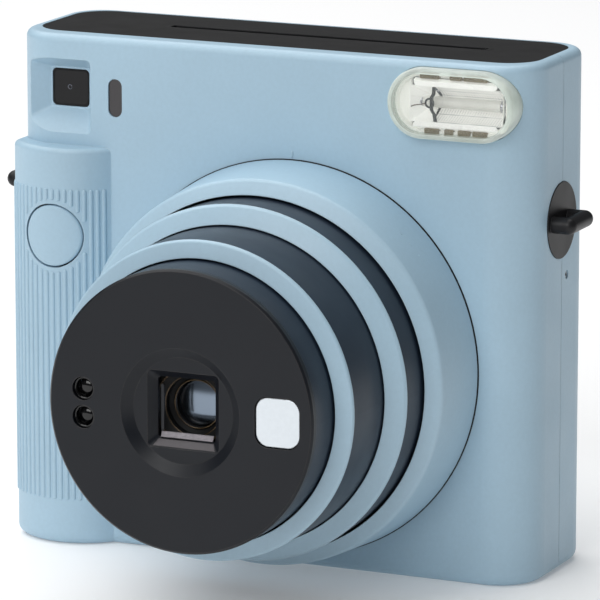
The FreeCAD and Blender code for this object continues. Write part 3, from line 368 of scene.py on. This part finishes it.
class Form:
    """The points and faces of one piece while it is drawn."""

    def __init__(self):
        self.points = []
        self.faces = []

    def skin(self, rings, looped=False):
        """A skin through rings of equally many points.

        looped joins the last ring to the first; otherwise the first and the last ring are capped.
        """
        first, count = len(self.points), len(rings[0])
        for ring in rings:
            self.points.extend(ring)
        steps = [(k, k + 1) for k in range(len(rings) - 1)]
        if looped:
            steps.append((len(rings) - 1, 0))
        for low, high in steps:
            for i in range(count):
                j = (i + 1) % count
                corners = (low * count + i, low * count + j, high * count + j, high * count + i)
                self.faces.append([first + corner for corner in corners])
        if not looped:
            self.faces.append([first + i for i in range(count)])
            self.faces.append([first + (len(rings) - 1) * count + i for i in range(count)])
        return self

    def sheet(self, rows, thickness):
        """An open sheet through rows of points, thickened towards +y."""
        back = [[(x, y + thickness, z) for x, y, z in row] for row in rows]
        return self.skin([front + rear[::-1] for front, rear in zip(rows, back)])

    def piece(self, name, body, slot, finish=None, stands_for=(), soft=0.0, sharp=35):
        """The finished mesh object, riding on its body.

        soft rounds its edges by so many millimetres; edges over sharp degrees are shaded sharp.
        """
        mesh = bpy.data.meshes.new(name)
        mesh.from_pydata([at(*point) for point in self.points], [], self.faces)
        cleaned = bmesh.new()
        cleaned.from_mesh(mesh)
        bmesh.ops.remove_doubles(cleaned, verts=cleaned.verts, dist=WELD * MM)
        bmesh.ops.recalc_face_normals(cleaned, faces=cleaned.faces)
        cleaned.to_mesh(mesh)
        cleaned.free()
        mesh.shade_smooth()
        mesh.set_sharp_from_angle(angle=math.radians(sharp))
        mesh.materials.append(FINISHES[finish or slot])
        thing = bpy.data.objects.new(name, mesh)
        bpy.context.scene.collection.objects.link(thing)
        if soft:
            bevel = thing.modifiers.new("soft_edges", "BEVEL")
            bevel.width = soft * MM
            bevel.segments = 2
            bevel.limit_method = "ANGLE"
            bevel.angle_limit = math.radians(SOFTENED_FROM)
        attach(thing, body)
        if stands_for:
            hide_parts(*stands_for)
        return thing


def rounded(width, height, radius, steps=6):
    """The outline of a rounded rectangle about its own middle, anticlockwise from its right side."""
    outline = []
    for quarter, (right, up) in enumerate(((1, 1), (-1, 1), (-1, -1), (1, -1))):
        for step in range(steps + 1):
            angle = (quarter + step / steps) * math.pi / 2
            u = right * (width / 2 - radius) + radius * math.cos(angle)
            v = up * (height / 2 - radius) + radius * math.sin(angle)
            outline.append((u, v))
    return outline


def circle(radius, count, phase=0.0):
    """A circle of count points, turned by phase steps."""
    angles = [2 * math.pi * (i + phase) / count for i in range(count)]
    return [(radius * math.cos(angle), radius * math.sin(angle)) for angle in angles]


def facing(outline, x, y, z):
    """An outline as a ring of points in a plane that faces the front."""
    return [(x + u, y, z + v) for u, v in outline]


def about_lens(form, corners, count):
    """A ring about the lens axis through (radius, y) corners."""
    rings = [facing(circle(radius, count), LENS_X, y, LENS_Z) for radius, y in corners]
    return form.skin(rings, looped=True)


def half_round(form, start, end, outward, across, width, proud):
    """A half-round rib with rounded ends; outward and across are its own directions."""
    end_steps, arc_steps, buried = 4, 6, 0.3
    start, end = Vector(start), Vector(end)
    along = (end - start).normalized()
    reach = min(width, (end - start).length) / 2
    insets = [reach * (1 - math.cos(k / end_steps * math.pi / 2)) for k in range(1, end_steps + 1)]
    stations = [(start + along * inset, inset) for inset in insets]
    stations += [(end - along * inset, inset) for inset in reversed(insets)]
    rings = []
    for centre, inset in stations:
        shrink = math.sqrt(max(0.0, 1 - (1 - inset / reach) ** 2))
        half = width / 2 * shrink
        ring = []
        for k in range(arc_steps + 1):
            angle = k / arc_steps * math.pi
            rise = math.sin(angle) * proud * shrink
            ring.append(tuple(centre + across * (math.cos(angle) * half) + outward * rise))
        ring.append(tuple(centre - across * half - outward * buried))
        ring.append(tuple(centre + across * half - outward * buried))
        rings.append(ring)
    return form.skin(rings)


def pipe(form, path, radius, sides):
    """A round bar through a path of points, which lies roughly in one plane."""
    points = [Vector(p) for p in path]
    rings = []
    side = None
    for i, point in enumerate(points):
        ahead = (points[min(i + 1, len(points) - 1)] - points[max(i - 1, 0)]).normalized()
        if side is None:
            side = ahead.orthogonal().normalized()
        side = (side - ahead * side.dot(ahead)).normalized()
        other = ahead.cross(side)
        rings.append([tuple(point + side * u + other * v) for u, v in circle(radius, sides)])
    return form.skin(rings)


# ---- grip and shutter button ----

GRIP_X, GRIP_AXIS, GRIP_RADIUS = -50.83, 11.24, 16.62
GRIP_CORNER = 4.0
RIB_PITCH, RIB_SHIFT = 1.536, -0.23
RIB_WIDTH, RIB_PROUD = 1.0, 0.32
RIB_LOW, RIB_HIGH = 10.7, 83.8
RIBS_LEFT, RIBS_RIGHT = 10, 8
BUTTON = span("shutter_button")
BUTTON_X, BUTTON_Z, BUTTON_RADIUS = BUTTON.middle.x, BUTTON.middle.z, 7.1
BUTTON_MARGIN = 1.25


def grip_y(x):
    """The front of the grip's bulge at a given x."""
    return GRIP_AXIS - math.sqrt(GRIP_RADIUS**2 - (x - GRIP_X) ** 2)


def grip_frame(distance):
    """The point and the outward direction at a distance round the grip from its crest, to the right."""
    corner_x = BODY.low.x + GRIP_CORNER
    corner_turn = math.asin((corner_x - GRIP_X) / (GRIP_RADIUS - GRIP_CORNER))
    corner_y = GRIP_AXIS - (GRIP_RADIUS - GRIP_CORNER) * math.cos(corner_turn)
    angle = distance / GRIP_RADIUS
    if angle >= corner_turn:
        outward = Vector((math.sin(angle), -math.cos(angle), 0))
        return Vector((GRIP_X, GRIP_AXIS, 0)) + outward * GRIP_RADIUS, outward
    beyond = (corner_turn * GRIP_RADIUS - distance) / GRIP_CORNER
    angle = max(corner_turn - beyond, -math.pi / 2)
    outward = Vector((math.sin(angle), -math.cos(angle), 0))
    straight = max(0.0, beyond - (corner_turn + math.pi / 2)) * GRIP_CORNER
    return Vector((corner_x, corner_y + straight, 0)) + outward * GRIP_CORNER, outward


def make_grip_ribs():
    """Upright ribs round the grip, which stop short of the button."""
    form = Form()
    clear_of = BUTTON_RADIUS + BUTTON_MARGIN
    for number in range(-RIBS_LEFT, RIBS_RIGHT + 1):
        foot, outward = grip_frame(number * RIB_PITCH + RIB_SHIFT)
        across = outward.cross(Vector((0, 0, 1)))
        offset = abs(foot.x - BUTTON_X)
        stretches = [(RIB_LOW, RIB_HIGH)]
        if offset < clear_of:
            half = math.sqrt(clear_of**2 - offset**2)
            stretches = [(RIB_LOW, BUTTON_Z - half), (BUTTON_Z + half, RIB_HIGH)]
        for low, high in stretches:
            start, end = (foot.x, foot.y, low), (foot.x, foot.y, high)
            half_round(form, start, end, outward, across, RIB_WIDTH, RIB_PROUD)
    form.piece("grip_ribs", "camera_body", "body_blue")


def make_shutter_button():
    """The button's face follows the grip's curve, slightly dished, and ends in a soft edge."""
    sides, face_steps, edge_steps = 72, 8, 5
    dished, dish, soft, lift = 0.9 * BUTTON_RADIUS, 0.12, 0.45, 0.02
    stem_radius, cap_back = 2.0, -0.4
    profile = []
    for k in range(1, face_steps + 1):
        share = k / face_steps
        profile.append((dished * share, dish * (1 - share**2)))
    for k in range(1, edge_steps + 1):
        angle = k / edge_steps * math.pi / 2
        profile.append((BUTTON_RADIUS - soft + soft * math.sin(angle), soft * (1 - math.cos(angle))))
    rings = []
    for radius, drop in profile:
        outline = circle(radius, sides)
        rings.append([(BUTTON_X + u, grip_y(BUTTON_X + u) + drop - lift, BUTTON_Z + v) for u, v in outline])
    for radius, y in ((BUTTON_RADIUS, cap_back), (stem_radius, cap_back), (stem_radius, BUTTON.high.y)):
        rings.append(facing(circle(radius, sides), BUTTON_X, y, BUTTON_Z))
    Form().skin(rings).piece("shutter_button_cap", "button", "body_blue", stands_for=["shutter_button"])


# ---- raised marks ----

DIAL_FOOT, DIAL_DEPTH, DIAL_TAPER = -0.4, 17.04, 1.33


def make_index_tick():
    """The short index mark over the dial."""
    gap, length, width, proud = 0.55, 1.5, 0.5, 0.22
    foot = DIAL.high.z + gap
    tick = Form()
    ends = (LENS_X, 0, foot), (LENS_X, 0, foot + length)
    half_round(tick, *ends, Vector((0, -1, 0)), Vector((1, 0, 0)), width, proud)
    tick.piece("index_tick", "camera_body", "body_blue")


def make_dial_dots():
    """Three plain position dots on the dial's own side."""
    y, proud = -9.0, 0.12
    radius = DIAL_RADIUS - DIAL_TAPER * (DIAL_FOOT - y) / DIAL_DEPTH
    rearward = Vector((0, 1, 0))
    dots = Form()
    for turn, size in ((43, 0.55), (47, 0.75), (51, 0.55)):
        angle = math.radians(turn)
        outward = Vector((math.sin(angle), 0, math.cos(angle)))
        middle = Vector((LENS_X, y, LENS_Z)) + outward * radius
        reach = rearward.cross(outward) * size / 2
        half_round(dots, middle - reach, middle + reach, outward, rearward, size, proud)
    dots.piece("dial_dots", "dial", "dial_blue")


# ---- flash ----

FLASH = span("flash_cover")
FLASH_X, FLASH_Z = FLASH.middle.x, FLASH.middle.z
FLASH_WIDTH = FLASH.high.x - FLASH.low.x
FLASH_HEIGHT = FLASH.high.z - FLASH.low.z
FLASH_WALL = 1.2
TUBE = span("flash_tube")
BOWL = span("flash_reflector")
BOWL_FRONT, BOWL_DEEPEST = BOWL.low.y + 0.35, TUBE.high.y + 1.9
MOUTH_LOW, MOUTH_HIGH = BOWL.low.z + 1.5, BOWL.high.z - 1.6
MOUTH_MIDDLE = (MOUTH_LOW + MOUTH_HIGH) / 2
TROUGH_LEFT, TROUGH_RIGHT = BOWL.low.x + 5.4, BOWL.high.x - 1.5
STRAP_X, STRAP_Y, STRAP_Z = BOWL.low.x + 5.6, BOWL_FRONT + 0.2, TUBE.middle.z


def stadium_ring(inset, y):
    """The flash's outline, with half-round ends, drawn in by an inset."""
    width, height = FLASH_WIDTH - 2 * inset, FLASH_HEIGHT - 2 * inset
    nearly_half = height / 2 - 0.001
    return facing(rounded(width, height, nearly_half, 12), FLASH_X, y, FLASH_Z)


def make_flash_lens():
    """A clear face set in a milky rim with rounded edges."""
    front, rear, wall = FLASH.low.y, FLASH.high.y, FLASH_WALL
    outer = [(0, rear), (0, front + 0.9), (0.09, front + 0.5), (0.35, front + 0.17), (0.8, front)]
    inner = [(wall - 0.1, front), (wall, front + 0.12), (wall, rear)]
    rim = Form().skin([stadium_ring(inset, y) for inset, y in outer + inner], looped=True)
    rim.piece("flash_rim", "camera_body", "flash_clear", finish="milky_rim", stands_for=["flash_cover"])
    face = [(0.02, front + 1.0), (0.02, front + 0.3), (0.3, front + 0.1), (0.8, front + 0.02)]
    lens = Form().skin([stadium_ring(wall + inset, y) for inset, y in face])
    lens.piece("flash_lens", "camera_body", "flash_clear")


def make_flash_bed():
    """The pale moulding between the rim and the reflector."""
    rear, gap, corner = 1.4, 0.1, 1.0
    outline = rounded(BOWL.high.x - BOWL.low.x + gap, BOWL.high.z - BOWL.low.z + gap, corner, 12)
    stations = ((0.0, rear), (0.0, -0.6), (0.5, -0.6), (0.7, 0.3))
    rings = [stadium_ring(FLASH_WALL + 0.05 + inset, y) for inset, y in stations]
    rings += [facing(outline, BOWL.middle.x, y, BOWL.middle.z) for y in (0.5, rear)]
    bed = Form().skin(rings, looped=True)
    bed.piece("flash_bed", "camera_body", "flash_clear", finish="flash_bed")


def make_flash_catches():
    """The dark catches in the bed, above and below the reflector."""
    height, corner, front, rear = 1.3, 0.25, -1.0, 0.35
    above, below = FLASH.high.z - 1.75, FLASH.low.z + 1.7
    upper = [(38.1, 42.6), (45.2, 48.1), (48.6, 54.2)]
    lower = [(39.2, 42.7), (44.0, 46.1), (47.2, 50.2), (50.7, 54.2)]
    catches = Form()
    for stretches, z in ((upper, above), (lower, below)):
        for left, right in stretches:
            outline = rounded(right - left, height, corner, 3)
            catches.skin([facing(outline, (left + right) / 2, y, z) for y in (front, rear)])
    catches.piece("flash_catches", "camera_body", "flash_clear", finish="flash_catch", soft=0.1)


def trough_y(z):
    """The trough's y at a height: a parabola from lip to lip."""
    across = (z - MOUTH_MIDDLE) / (MOUTH_HIGH - MOUTH_LOW) * 2
    return BOWL_FRONT + (BOWL_DEEPEST - BOWL_FRONT) * (1 - across * across)


def make_flash_trough():
    """The reflector's trough, with fine upright grooves, and the flat cheek on its right."""
    foil, pitch, steps = 0.3, 0.62, 20
    groove = ((0.0, 0.0), (0.42, 0.0), (0.5, 0.09), (0.58, 0.0))
    heights = [MOUTH_LOW + (MOUTH_HIGH - MOUTH_LOW) * k / steps for k in range(steps + 1)]
    rows = []
    for number in range(int((TROUGH_RIGHT - TROUGH_LEFT) / pitch) + 1):
        for shift, dip in groove:
            x = min(TROUGH_LEFT + number * pitch + shift, TROUGH_RIGHT)
            rows.append([(x, trough_y(z) + dip, z) for z in heights])
    trough = Form().sheet(rows, foil)
    cheek = [(TROUGH_RIGHT, trough_y(z), z) for z in heights]
    edge = [(BOWL.high.x - 0.1, BOWL_FRONT, z) for z in heights]
    trough.sheet([cheek, edge], foil)
    replaced = ["flash_reflector"]
    trough.piece(
        "flash_trough", "camera_body", "reflector", finish="lined_foil", stands_for=replaced, sharp=12
    )


def make_flash_cheek():
    """The facets that close the trough on its left, all from one inner point."""
    apex = (TROUGH_LEFT, BOWL_DEEPEST - 0.6, MOUTH_MIDDLE + 0.2)
    rim_x, fold_x, fold_y, foil = BOWL.low.x + 0.15, TROUGH_LEFT - 2.0, BOWL_FRONT + 0.3, 0.25
    fan = [(TROUGH_LEFT, trough_y(MOUTH_HIGH), MOUTH_HIGH), (fold_x, fold_y, MOUTH_HIGH)]
    for z in (MOUTH_HIGH, MOUTH_MIDDLE + 1.7, MOUTH_MIDDLE - 1.3, MOUTH_LOW):
        fan.append((rim_x, BOWL_FRONT, z))
    fan += [(fold_x, fold_y, MOUTH_LOW), (TROUGH_LEFT, trough_y(MOUTH_LOW), MOUTH_LOW)]
    facets = Form()
    for first, second in zip(fan, fan[1:]):
        facet = [first, second, apex]
        facets.skin([facet, [(x, y + foil, z) for x, y, z in facet]])
    facets.piece("flash_cheek", "camera_body", "reflector", sharp=5)


def make_flash_lips():
    """The folded lips above and below the trough, tapered at their ends."""
    foil, taper = 0.22, 0.35
    lips = Form()
    for outer, inner, inset in ((BOWL.high.z, MOUTH_HIGH - 0.15, 1.1), (BOWL.low.z, MOUTH_LOW + 0.15, 0.9)):
        left, right = BOWL.low.x + inset, BOWL.high.x - inset - 0.3
        rows = []
        for x, narrowed in ((left, taper), (left + 0.5, 0.0), (right - 0.6, 0.0), (right, taper)):
            tip = inner + narrowed * (outer - inner)
            fold = (x, BOWL_FRONT - 0.3, (outer * 2 + tip) / 3)
            rows.append([(x, BOWL_FRONT + 0.5, outer), fold, (x, BOWL_FRONT - 0.15, tip)])
        lips.sheet(rows, foil)
    lips.piece("flash_lips", "camera_body", "reflector", soft=0.05, sharp=25)


def make_flash_strap():
    """The dark strap that holds the tube's left end."""
    x, z, half, foil = STRAP_X, STRAP_Z, 0.5, 0.25
    path = [(x + 0.1, BOWL.high.z - 1.7), (x, z + 2.2), (x - 0.5, z + 1.4)]
    path += [(x - 0.5, z - 1.4), (x + 0.15, z - 2.4), (x + 0.45, BOWL.low.z + 1.6)]
    strap = Form().sheet([[(u - half, STRAP_Y + 0.35, v), (u + half, STRAP_Y, v)] for u, v in path], foil)
    strap.piece("flash_strap", "camera_body", "steel", finish="flash_strap", soft=0.08)


def make_flash_tube_ring():
    """The insulating ring round the tube's left end."""
    centre, ring_radius, bar_radius = Vector((STRAP_X - 1.0, STRAP_Y + 0.3, STRAP_Z + 0.1)), 0.95, 0.24
    rings = []
    for c, s in circle(1.0, 24):
        spoke = Vector((c, 0, s))
        bar = circle(bar_radius, 8)
        rings.append([tuple(centre + spoke * (ring_radius + u) + Vector((0, v, 0))) for u, v in bar])
    ring = Form().skin(rings, looped=True)
    ring.piece("flash_tube_ring", "camera_body", "steel", finish="flash_strap")


def make_flash_wire():
    """The trigger wire that leaves the strap to the left."""
    steps = ((1.9, 0.0, 0.0), (3.0, 0.1, 0.25), (4.4, 0.0, 0.5), (5.3, 0.0, 0.85))
    route = [(STRAP_X - left, STRAP_Y - out, STRAP_Z - drop) for left, out, drop in steps]
    radius, sides = 0.13, 8
    wire = pipe(Form(), route, radius, sides)
    wire.piece("flash_trigger_wire", "camera_body", "brass", finish="flash_wire")


# ---- lens front ----

WINDOW_HALF = 6.75  # half the width of the square opening in front of the lens
WINDOW_FRONT = PLATE.low.y + 3.35


def make_window_post():
    """A slim upright at the window's left edge."""
    width, shortened, corner, inset = 0.75, 3.2, 0.3, 0.95
    outline = rounded(width, 2 * WINDOW_HALF - shortened, corner, 3)
    x = LENS_X - WINDOW_HALF + inset
    post = Form().skin([facing(outline, x, y, LENS_Z) for y in (WINDOW_FRONT + 0.2, WINDOW_FRONT + 0.9)])
    post.piece("window_post", "lens_block", "inner_black", finish="window_frame", soft=0.08)


def make_window_bevel():
    """The slope under the window, from the plate's face in to the opening, painted lighter as a highlight of
    the top light.
    """
    rows = []
    for drop, half, y in ((8.35, 7.45, PLATE.low.y + 1.92), (7.0, 6.6, PLATE.low.y + 3.25)):
        rows.append([(LENS_X + side * half, y, LENS_Z - drop) for side in (-1, 1)])
    bevel = Form().sheet(rows, 0.2)
    bevel.piece("window_bevel", "lens_block", "plate_black", finish="satin_bevel", soft=0.05)


def make_window_sill():
    """The crinkled strip along the bottom of the window."""
    steps, margin, floor = 40, 0.5, LENS_Z - WINDOW_HALF + 0.12
    rows = []
    for step in range(steps + 1):
        x = LENS_X - WINDOW_HALF + margin + 2 * (WINDOW_HALF - margin) * step / steps
        wave = 0.06 * math.sin(step * 1.9) + 0.05 * math.sin(step * 4.3 + 1)
        middle = (x, WINDOW_FRONT + 0.45 + wave, floor + 0.5)
        rear = (x, WINDOW_FRONT + 0.8 - wave, floor + 1.15)
        rows.append([(x, WINDOW_FRONT + 0.1, floor), middle, rear])
    sill = Form().sheet(rows, 0.25)
    sill.piece("window_sill", "lens_block", "inner_black", finish="crinkled", sharp=20)


def make_lens_rings():
    """Three glossy rings that step in towards the glass."""
    face = span("lens_cell").low.y
    peak, thickness = 0.14, 0.6
    rings = Form()
    for outer, width, y in ((8.75, 0.5, face - 0.28), (6.95, 0.35, face + 1.15), (5.55, 0.3, face + 3.2)):
        inner = outer - width
        corners = [(inner, y), (outer - width / 2, y - peak), (outer, y)]
        corners += [(outer, y + thickness), (inner, y + thickness)]
        about_lens(rings, corners, 96)
    rings.piece("lens_rings", "lens_block", "lens_glass", finish="ring_gloss", sharp=30)


def make_sensor_eyes():
    """Two round sensor windows, each with a dished face and a small pupil."""
    eyes = span("sensor_windows")
    radius = (eyes.high.x - eyes.low.x) / 2
    profile = [(0.25, 0.75), (0.8, 0.8), (1.35, 0.97), (1.8, 1.25), (1.95, 1.4), (2.05, 0.15), (2.2, 0.0)]
    profile += [(radius - 0.05, 0.02), (radius, 0.1), (radius, eyes.high.y - eyes.low.y)]
    sockets = Form()
    for z in (eyes.low.z + radius, eyes.high.z - radius):
        sockets.skin([facing(circle(r, 40), eyes.middle.x, eyes.low.y + sunk, z) for r, sunk in profile])
    replaced = ["sensor_windows"]
    sockets.piece("sensor_eyes", "lens_block", "dark_window", finish="sensor_black", stands_for=replaced)


def make_front_element():
    """The domed front glass."""
    sides, steps = 72, 14
    rim, curve, proud, thickness = 4.95, 22.0, 0.12, 2.4
    face = span("front_lens").low.y
    radii = [rim * k / steps for k in range(1, steps + 1)]
    profile = [(radius, face - proud + curve - math.sqrt(curve**2 - radius**2)) for radius in radii]
    profile.append((rim, face + thickness))
    dome = Form().skin([facing(circle(radius, sides), LENS_X, y, LENS_Z) for radius, y in profile])
    replaced = ["front_lens"]
    dome.piece(
        "front_element", "lens_block", "lens_glass", finish="coated_glass", stands_for=replaced, sharp=60
    )


def make_dial_gasket():
    """A dark ring in the gap between the dial's foot and the body: painted shade in that gap."""
    inner, front, rear = DIAL_RADIUS - 1.2, -0.36, -0.03
    corners = [(inner, front), (DIAL_RADIUS + 0.1, front), (DIAL_RADIUS + 0.24, rear), (inner, rear)]
    shade_ring = about_lens(Form(), corners, 128)
    shade_ring.piece("dial_shade_ring", "camera_body", "inner_black", soft=0.04)


# ---- screws, slot lip, finder ----

SCREW_SIDES = 48


def plus_outline(arm, half):
    """A plus-shaped outline about its own middle, as one radius for each direction."""
    outline = []
    for c, s in circle(1.0, SCREW_SIDES, 0.5):
        along, up = abs(c), abs(s)
        radius = max(min(arm / along, half / up), min(half / along, arm / up))
        outline.append((radius * c, radius * s))
    return outline


def screw_head(form, centre, outward, radius, height):
    """A pan-head screw with a cross recess; centre is where its axis meets the bottom of the head."""
    out = Vector(outward)
    side = out.orthogonal().normalized()
    up = out.cross(side)
    pan = [(1.0, 0.0), (1.0, 0.45), (0.9, 0.85), (0.72, 1.0)]
    recess = [(0.55, 0.16, 1.0), (0.48, 0.12, 0.35)]
    stations = [(circle(radius * size, SCREW_SIDES, 0.5), height * lift) for size, lift in pan]
    stations += [(plus_outline(radius * arm, radius * half), height * lift) for arm, half, lift in recess]
    rings = []
    for outline, lift in stations:
        rings.append([tuple(Vector(centre) + side * u + up * v + out * lift) for u, v in outline])
    form.skin(rings)


def make_screws():
    """Screw heads in the CAD set's places: one in each side, two under the base and three in the rear."""
    height, sunk = 1.45, 1.85
    side_radius, side_sunk, large_radius = 0.95, 1.7, 2.0
    heads = Form()
    for side in (1, -1):
        place = (side * (BODY.high.x - side_sunk), 23.15, 68.3)
        screw_head(heads, place, (side, 0, 0), side_radius, height)
    for x in (-48, 56):
        screw_head(heads, (x, 29, sunk), (0, 0, -1), large_radius, height)
    for x, z in ((-53, 22), (-53, 92), (15, 110)):
        screw_head(heads, (x, BODY.high.y - sunk, z), (0, 1, 0), large_radius, height)
    heads.piece("screw_heads", "camera_body", "steel", stands_for=["housing_screws"], sharp=40)


def make_slot_lip():
    """A low raised lip round the film slot in the top panel."""
    left, right, front, rear, corner = -33.1, 45.1, 20.2, 22.7, 0.7
    top, panel_top = BODY.high.z, span("top_panel").high.z
    stations = [(0.05, panel_top - 0.6), (0.05, top - 0.03), (0.2, top - 0.002), (0.8, top - 0.002)]
    stations.append((1.3, panel_top - 0.03))
    rings = []
    for grow, z in stations:
        outline = rounded(right - left + 2 * grow, rear - front + 2 * grow, corner + grow)
        rings.append([((left + right) / 2 + u, (front + rear) / 2 + v, z) for u, v in outline])
    lip = Form().skin(rings, looped=True)
    lip.piece("film_slot_lip", "camera_body", "panel_black", sharp=40)


FINDER = span("finder_window")


def make_finder_target():
    """The small target ring on the viewfinder's window."""
    radius, x, z = 0.55, FINDER.middle.x - 0.3, FINDER.middle.z + 0.1
    rings = []
    for size, proud in ((0.72, 0.0), (0.8, 0.05), (0.95, 0.05), (1.05, 0.0)):
        rings.append(facing(circle(radius * size, 32), x, FINDER.low.y - proud, z))
    target = Form().skin(rings, looped=True)
    target.piece("finder_target", "camera_body", "finder_glass", finish="target_grey")


def make_finder_rim():
    """The dark rim round the viewfinder's window."""
    x, y, z = FINDER.middle.x, FINDER.low.y, FINDER.middle.z
    width, height = FINDER.high.x - FINDER.low.x, FINDER.high.z - FINDER.low.z
    outer = rounded(width - 0.05, height - 0.05, 1.4)
    inner = rounded(width - 0.9, height - 0.9, 1.0)
    stations = ((outer, y + 0.3), (outer, y - 0.12), (inner, y - 0.02), (inner, y + 0.3))
    rim = Form().skin([facing(outline, x, depth, z) for outline, depth in stations], looped=True)
    rim.piece("finder_rim", "camera_body", "finder_glass", finish="inner_black", soft=0.04)


# ---- rear and inside ----


def make_light_seal():
    """The film door's foam strip, with a soft rounded face."""
    seal = span("light_seal")
    width, height = seal.high.x - seal.low.x, seal.high.z - seal.low.z
    strip, corner, front, rear = 2.0, 0.6, seal.low.y, seal.high.y
    stations = [(0.0, rear), (0.1, front + 0.2), (0.5, front + 0.02)]
    stations += [(strip - 0.5, front + 0.02), (strip - 0.1, front + 0.2), (strip, rear)]
    rings = []
    for inset, y in stations:
        outline = rounded(width - 2 * inset, height - 2 * inset, corner, 4)
        rings.append(facing(outline, seal.middle.x, y, seal.middle.z))
    form = Form().skin(rings, looped=True)
    foam = form.piece("foam_seal", "door", "foam", stands_for=["light_seal"], sharp=60)


def make_counter_numerals():
    """Picture numbers round the counter disc."""
    disc = span("counter_disc")
    numbers = (10, 8, 6, 4, 2, 0)
    size, thickness, proud, ring_radius = 1.9, 0.03, 0.02, 2.7
    place = at(disc.middle.x, disc.high.y + proud, disc.middle.z)
    facing_rear = Matrix.Rotation(math.pi, 4, "Z") @ Matrix.Rotation(math.pi / 2, 4, "X")
    for step, number in enumerate(numbers):
        curve = bpy.data.curves.new(f"counter_number_{number}", "FONT")
        curve.body = str(number)
        curve.size = size * MM
        curve.align_x = "CENTER"
        curve.align_y = "CENTER"
        curve.extrude = thickness * MM
        text = bpy.data.objects.new("counter_text", curve)
        bpy.context.scene.collection.objects.link(text)
        bpy.context.view_layer.update()
        mesh = bpy.data.meshes.new_from_object(text)
        bpy.data.objects.remove(text)
        turn = 2 * math.pi * step / len(numbers)
        around = Matrix.Rotation(turn, 4, "Y") @ Matrix.Translation((0, 0, ring_radius * MM))
        mesh.transform(Matrix.Translation(place) @ around @ facing_rear)
        mesh.materials.clear()
        mesh.materials.append(FINISHES["inner_black"])
        numeral = bpy.data.objects.new(f"counter_number_{number}", mesh)
        bpy.context.scene.collection.objects.link(numeral)
        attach(numeral, "counter")


# ---- stage, light and camera ----

LOOK_AT = at(0, BODY.high.y / 2, 57.4)
VIEW_FROM = at(487.1, -1064.6, 314.8)
VIEW_TURN, VIEW_DROP = math.radians(24.2), math.radians(12.22)
LENS_LENGTH = 317.7
SENSOR_WIDTH = 36


def make_stage():
    """The pale floor, a little under the base, which gives off a little light of its own."""
    reach, floor_z = 6.0, -0.00005
    corners = [(reach * x, reach * y, floor_z) for x, y in ((-1, -1), (1, -1), (1, 1), (-1, 1))]
    floor = bpy.data.meshes.new("floor")
    floor.from_pydata(corners, [], [(0, 1, 2, 3)])
    glow = {"Emission_Color": (1, 1, 1, 1), "Emission_Strength": 0.16}
    pale = {"Base_Color": (0.86, 0.86, 0.86, 1), "Roughness": 0.7, "Specular_IOR_Level": 0.2}
    floor.materials.append(blank("pale_floor", **pale, **glow)[0])
    thing = bpy.data.objects.new("floor", floor)
    bpy.context.scene.collection.objects.link(thing)


def make_world():
    """Dim, faintly blue light from all around."""
    world = bpy.data.worlds.new("studio")
    world.use_nodes = True
    background = world.node_tree.nodes["Background"]
    background.inputs["Color"].default_value = (0.93, 0.96, 1.0, 1)
    background.inputs["Strength"].default_value = 0.12
    bpy.context.scene.world = world


def add_light(name, place, size, power):
    """A rectangular light, aimed at the middle of the camera."""
    lamp = bpy.data.lights.new(name, "AREA")
    lamp.shape = "RECTANGLE"
    lamp.size, lamp.size_y = size
    lamp.energy = power
    thing = bpy.data.objects.new(name, lamp)
    thing.location = place
    thing.rotation_euler = (LOOK_AT - Vector(place)).to_track_quat("-Z", "Y").to_euler()
    bpy.context.scene.collection.objects.link(thing)


def make_camera():
    """The photograph's view, as near as a camera without shift comes to it."""
    camera = bpy.data.cameras.new("camera")
    camera.lens = LENS_LENGTH
    camera.sensor_width = SENSOR_WIDTH
    thing = bpy.data.objects.new("camera", camera)
    level = math.cos(VIEW_DROP)
    back = Vector((math.sin(VIEW_TURN) * level, -math.cos(VIEW_TURN) * level, math.sin(VIEW_DROP)))
    thing.location = VIEW_FROM
    thing.rotation_euler = (-back).to_track_quat("-Z", "Y").to_euler()
    bpy.context.scene.collection.objects.link(thing)
    bpy.context.scene.camera = thing
    bpy.context.scene.view_settings.view_transform = "Standard"


make_body_finishes()
make_glass_finishes()
make_works_finishes()
make_detail_finishes()
dress_cad_nodes()
make_grip_ribs()
make_shutter_button()
make_index_tick()
make_dial_dots()
make_flash_lens()
make_flash_bed()
make_flash_catches()
make_flash_trough()
make_flash_cheek()
make_flash_lips()
make_flash_strap()
make_flash_tube_ring()
make_flash_wire()
make_window_post()
make_window_bevel()
make_window_sill()
make_lens_rings()
make_sensor_eyes()
make_front_element()
make_dial_gasket()
make_screws()
make_slot_lip()
make_finder_target()
make_finder_rim()
make_light_seal()
make_counter_numerals()
make_stage()
make_world()
add_light("top", (-0.6, 0.2, 1.7), (2.4, 2.2), 40)
add_light("key", (-0.15, -1.6, 1.1), (1.2, 1.2), 17)
make_camera()
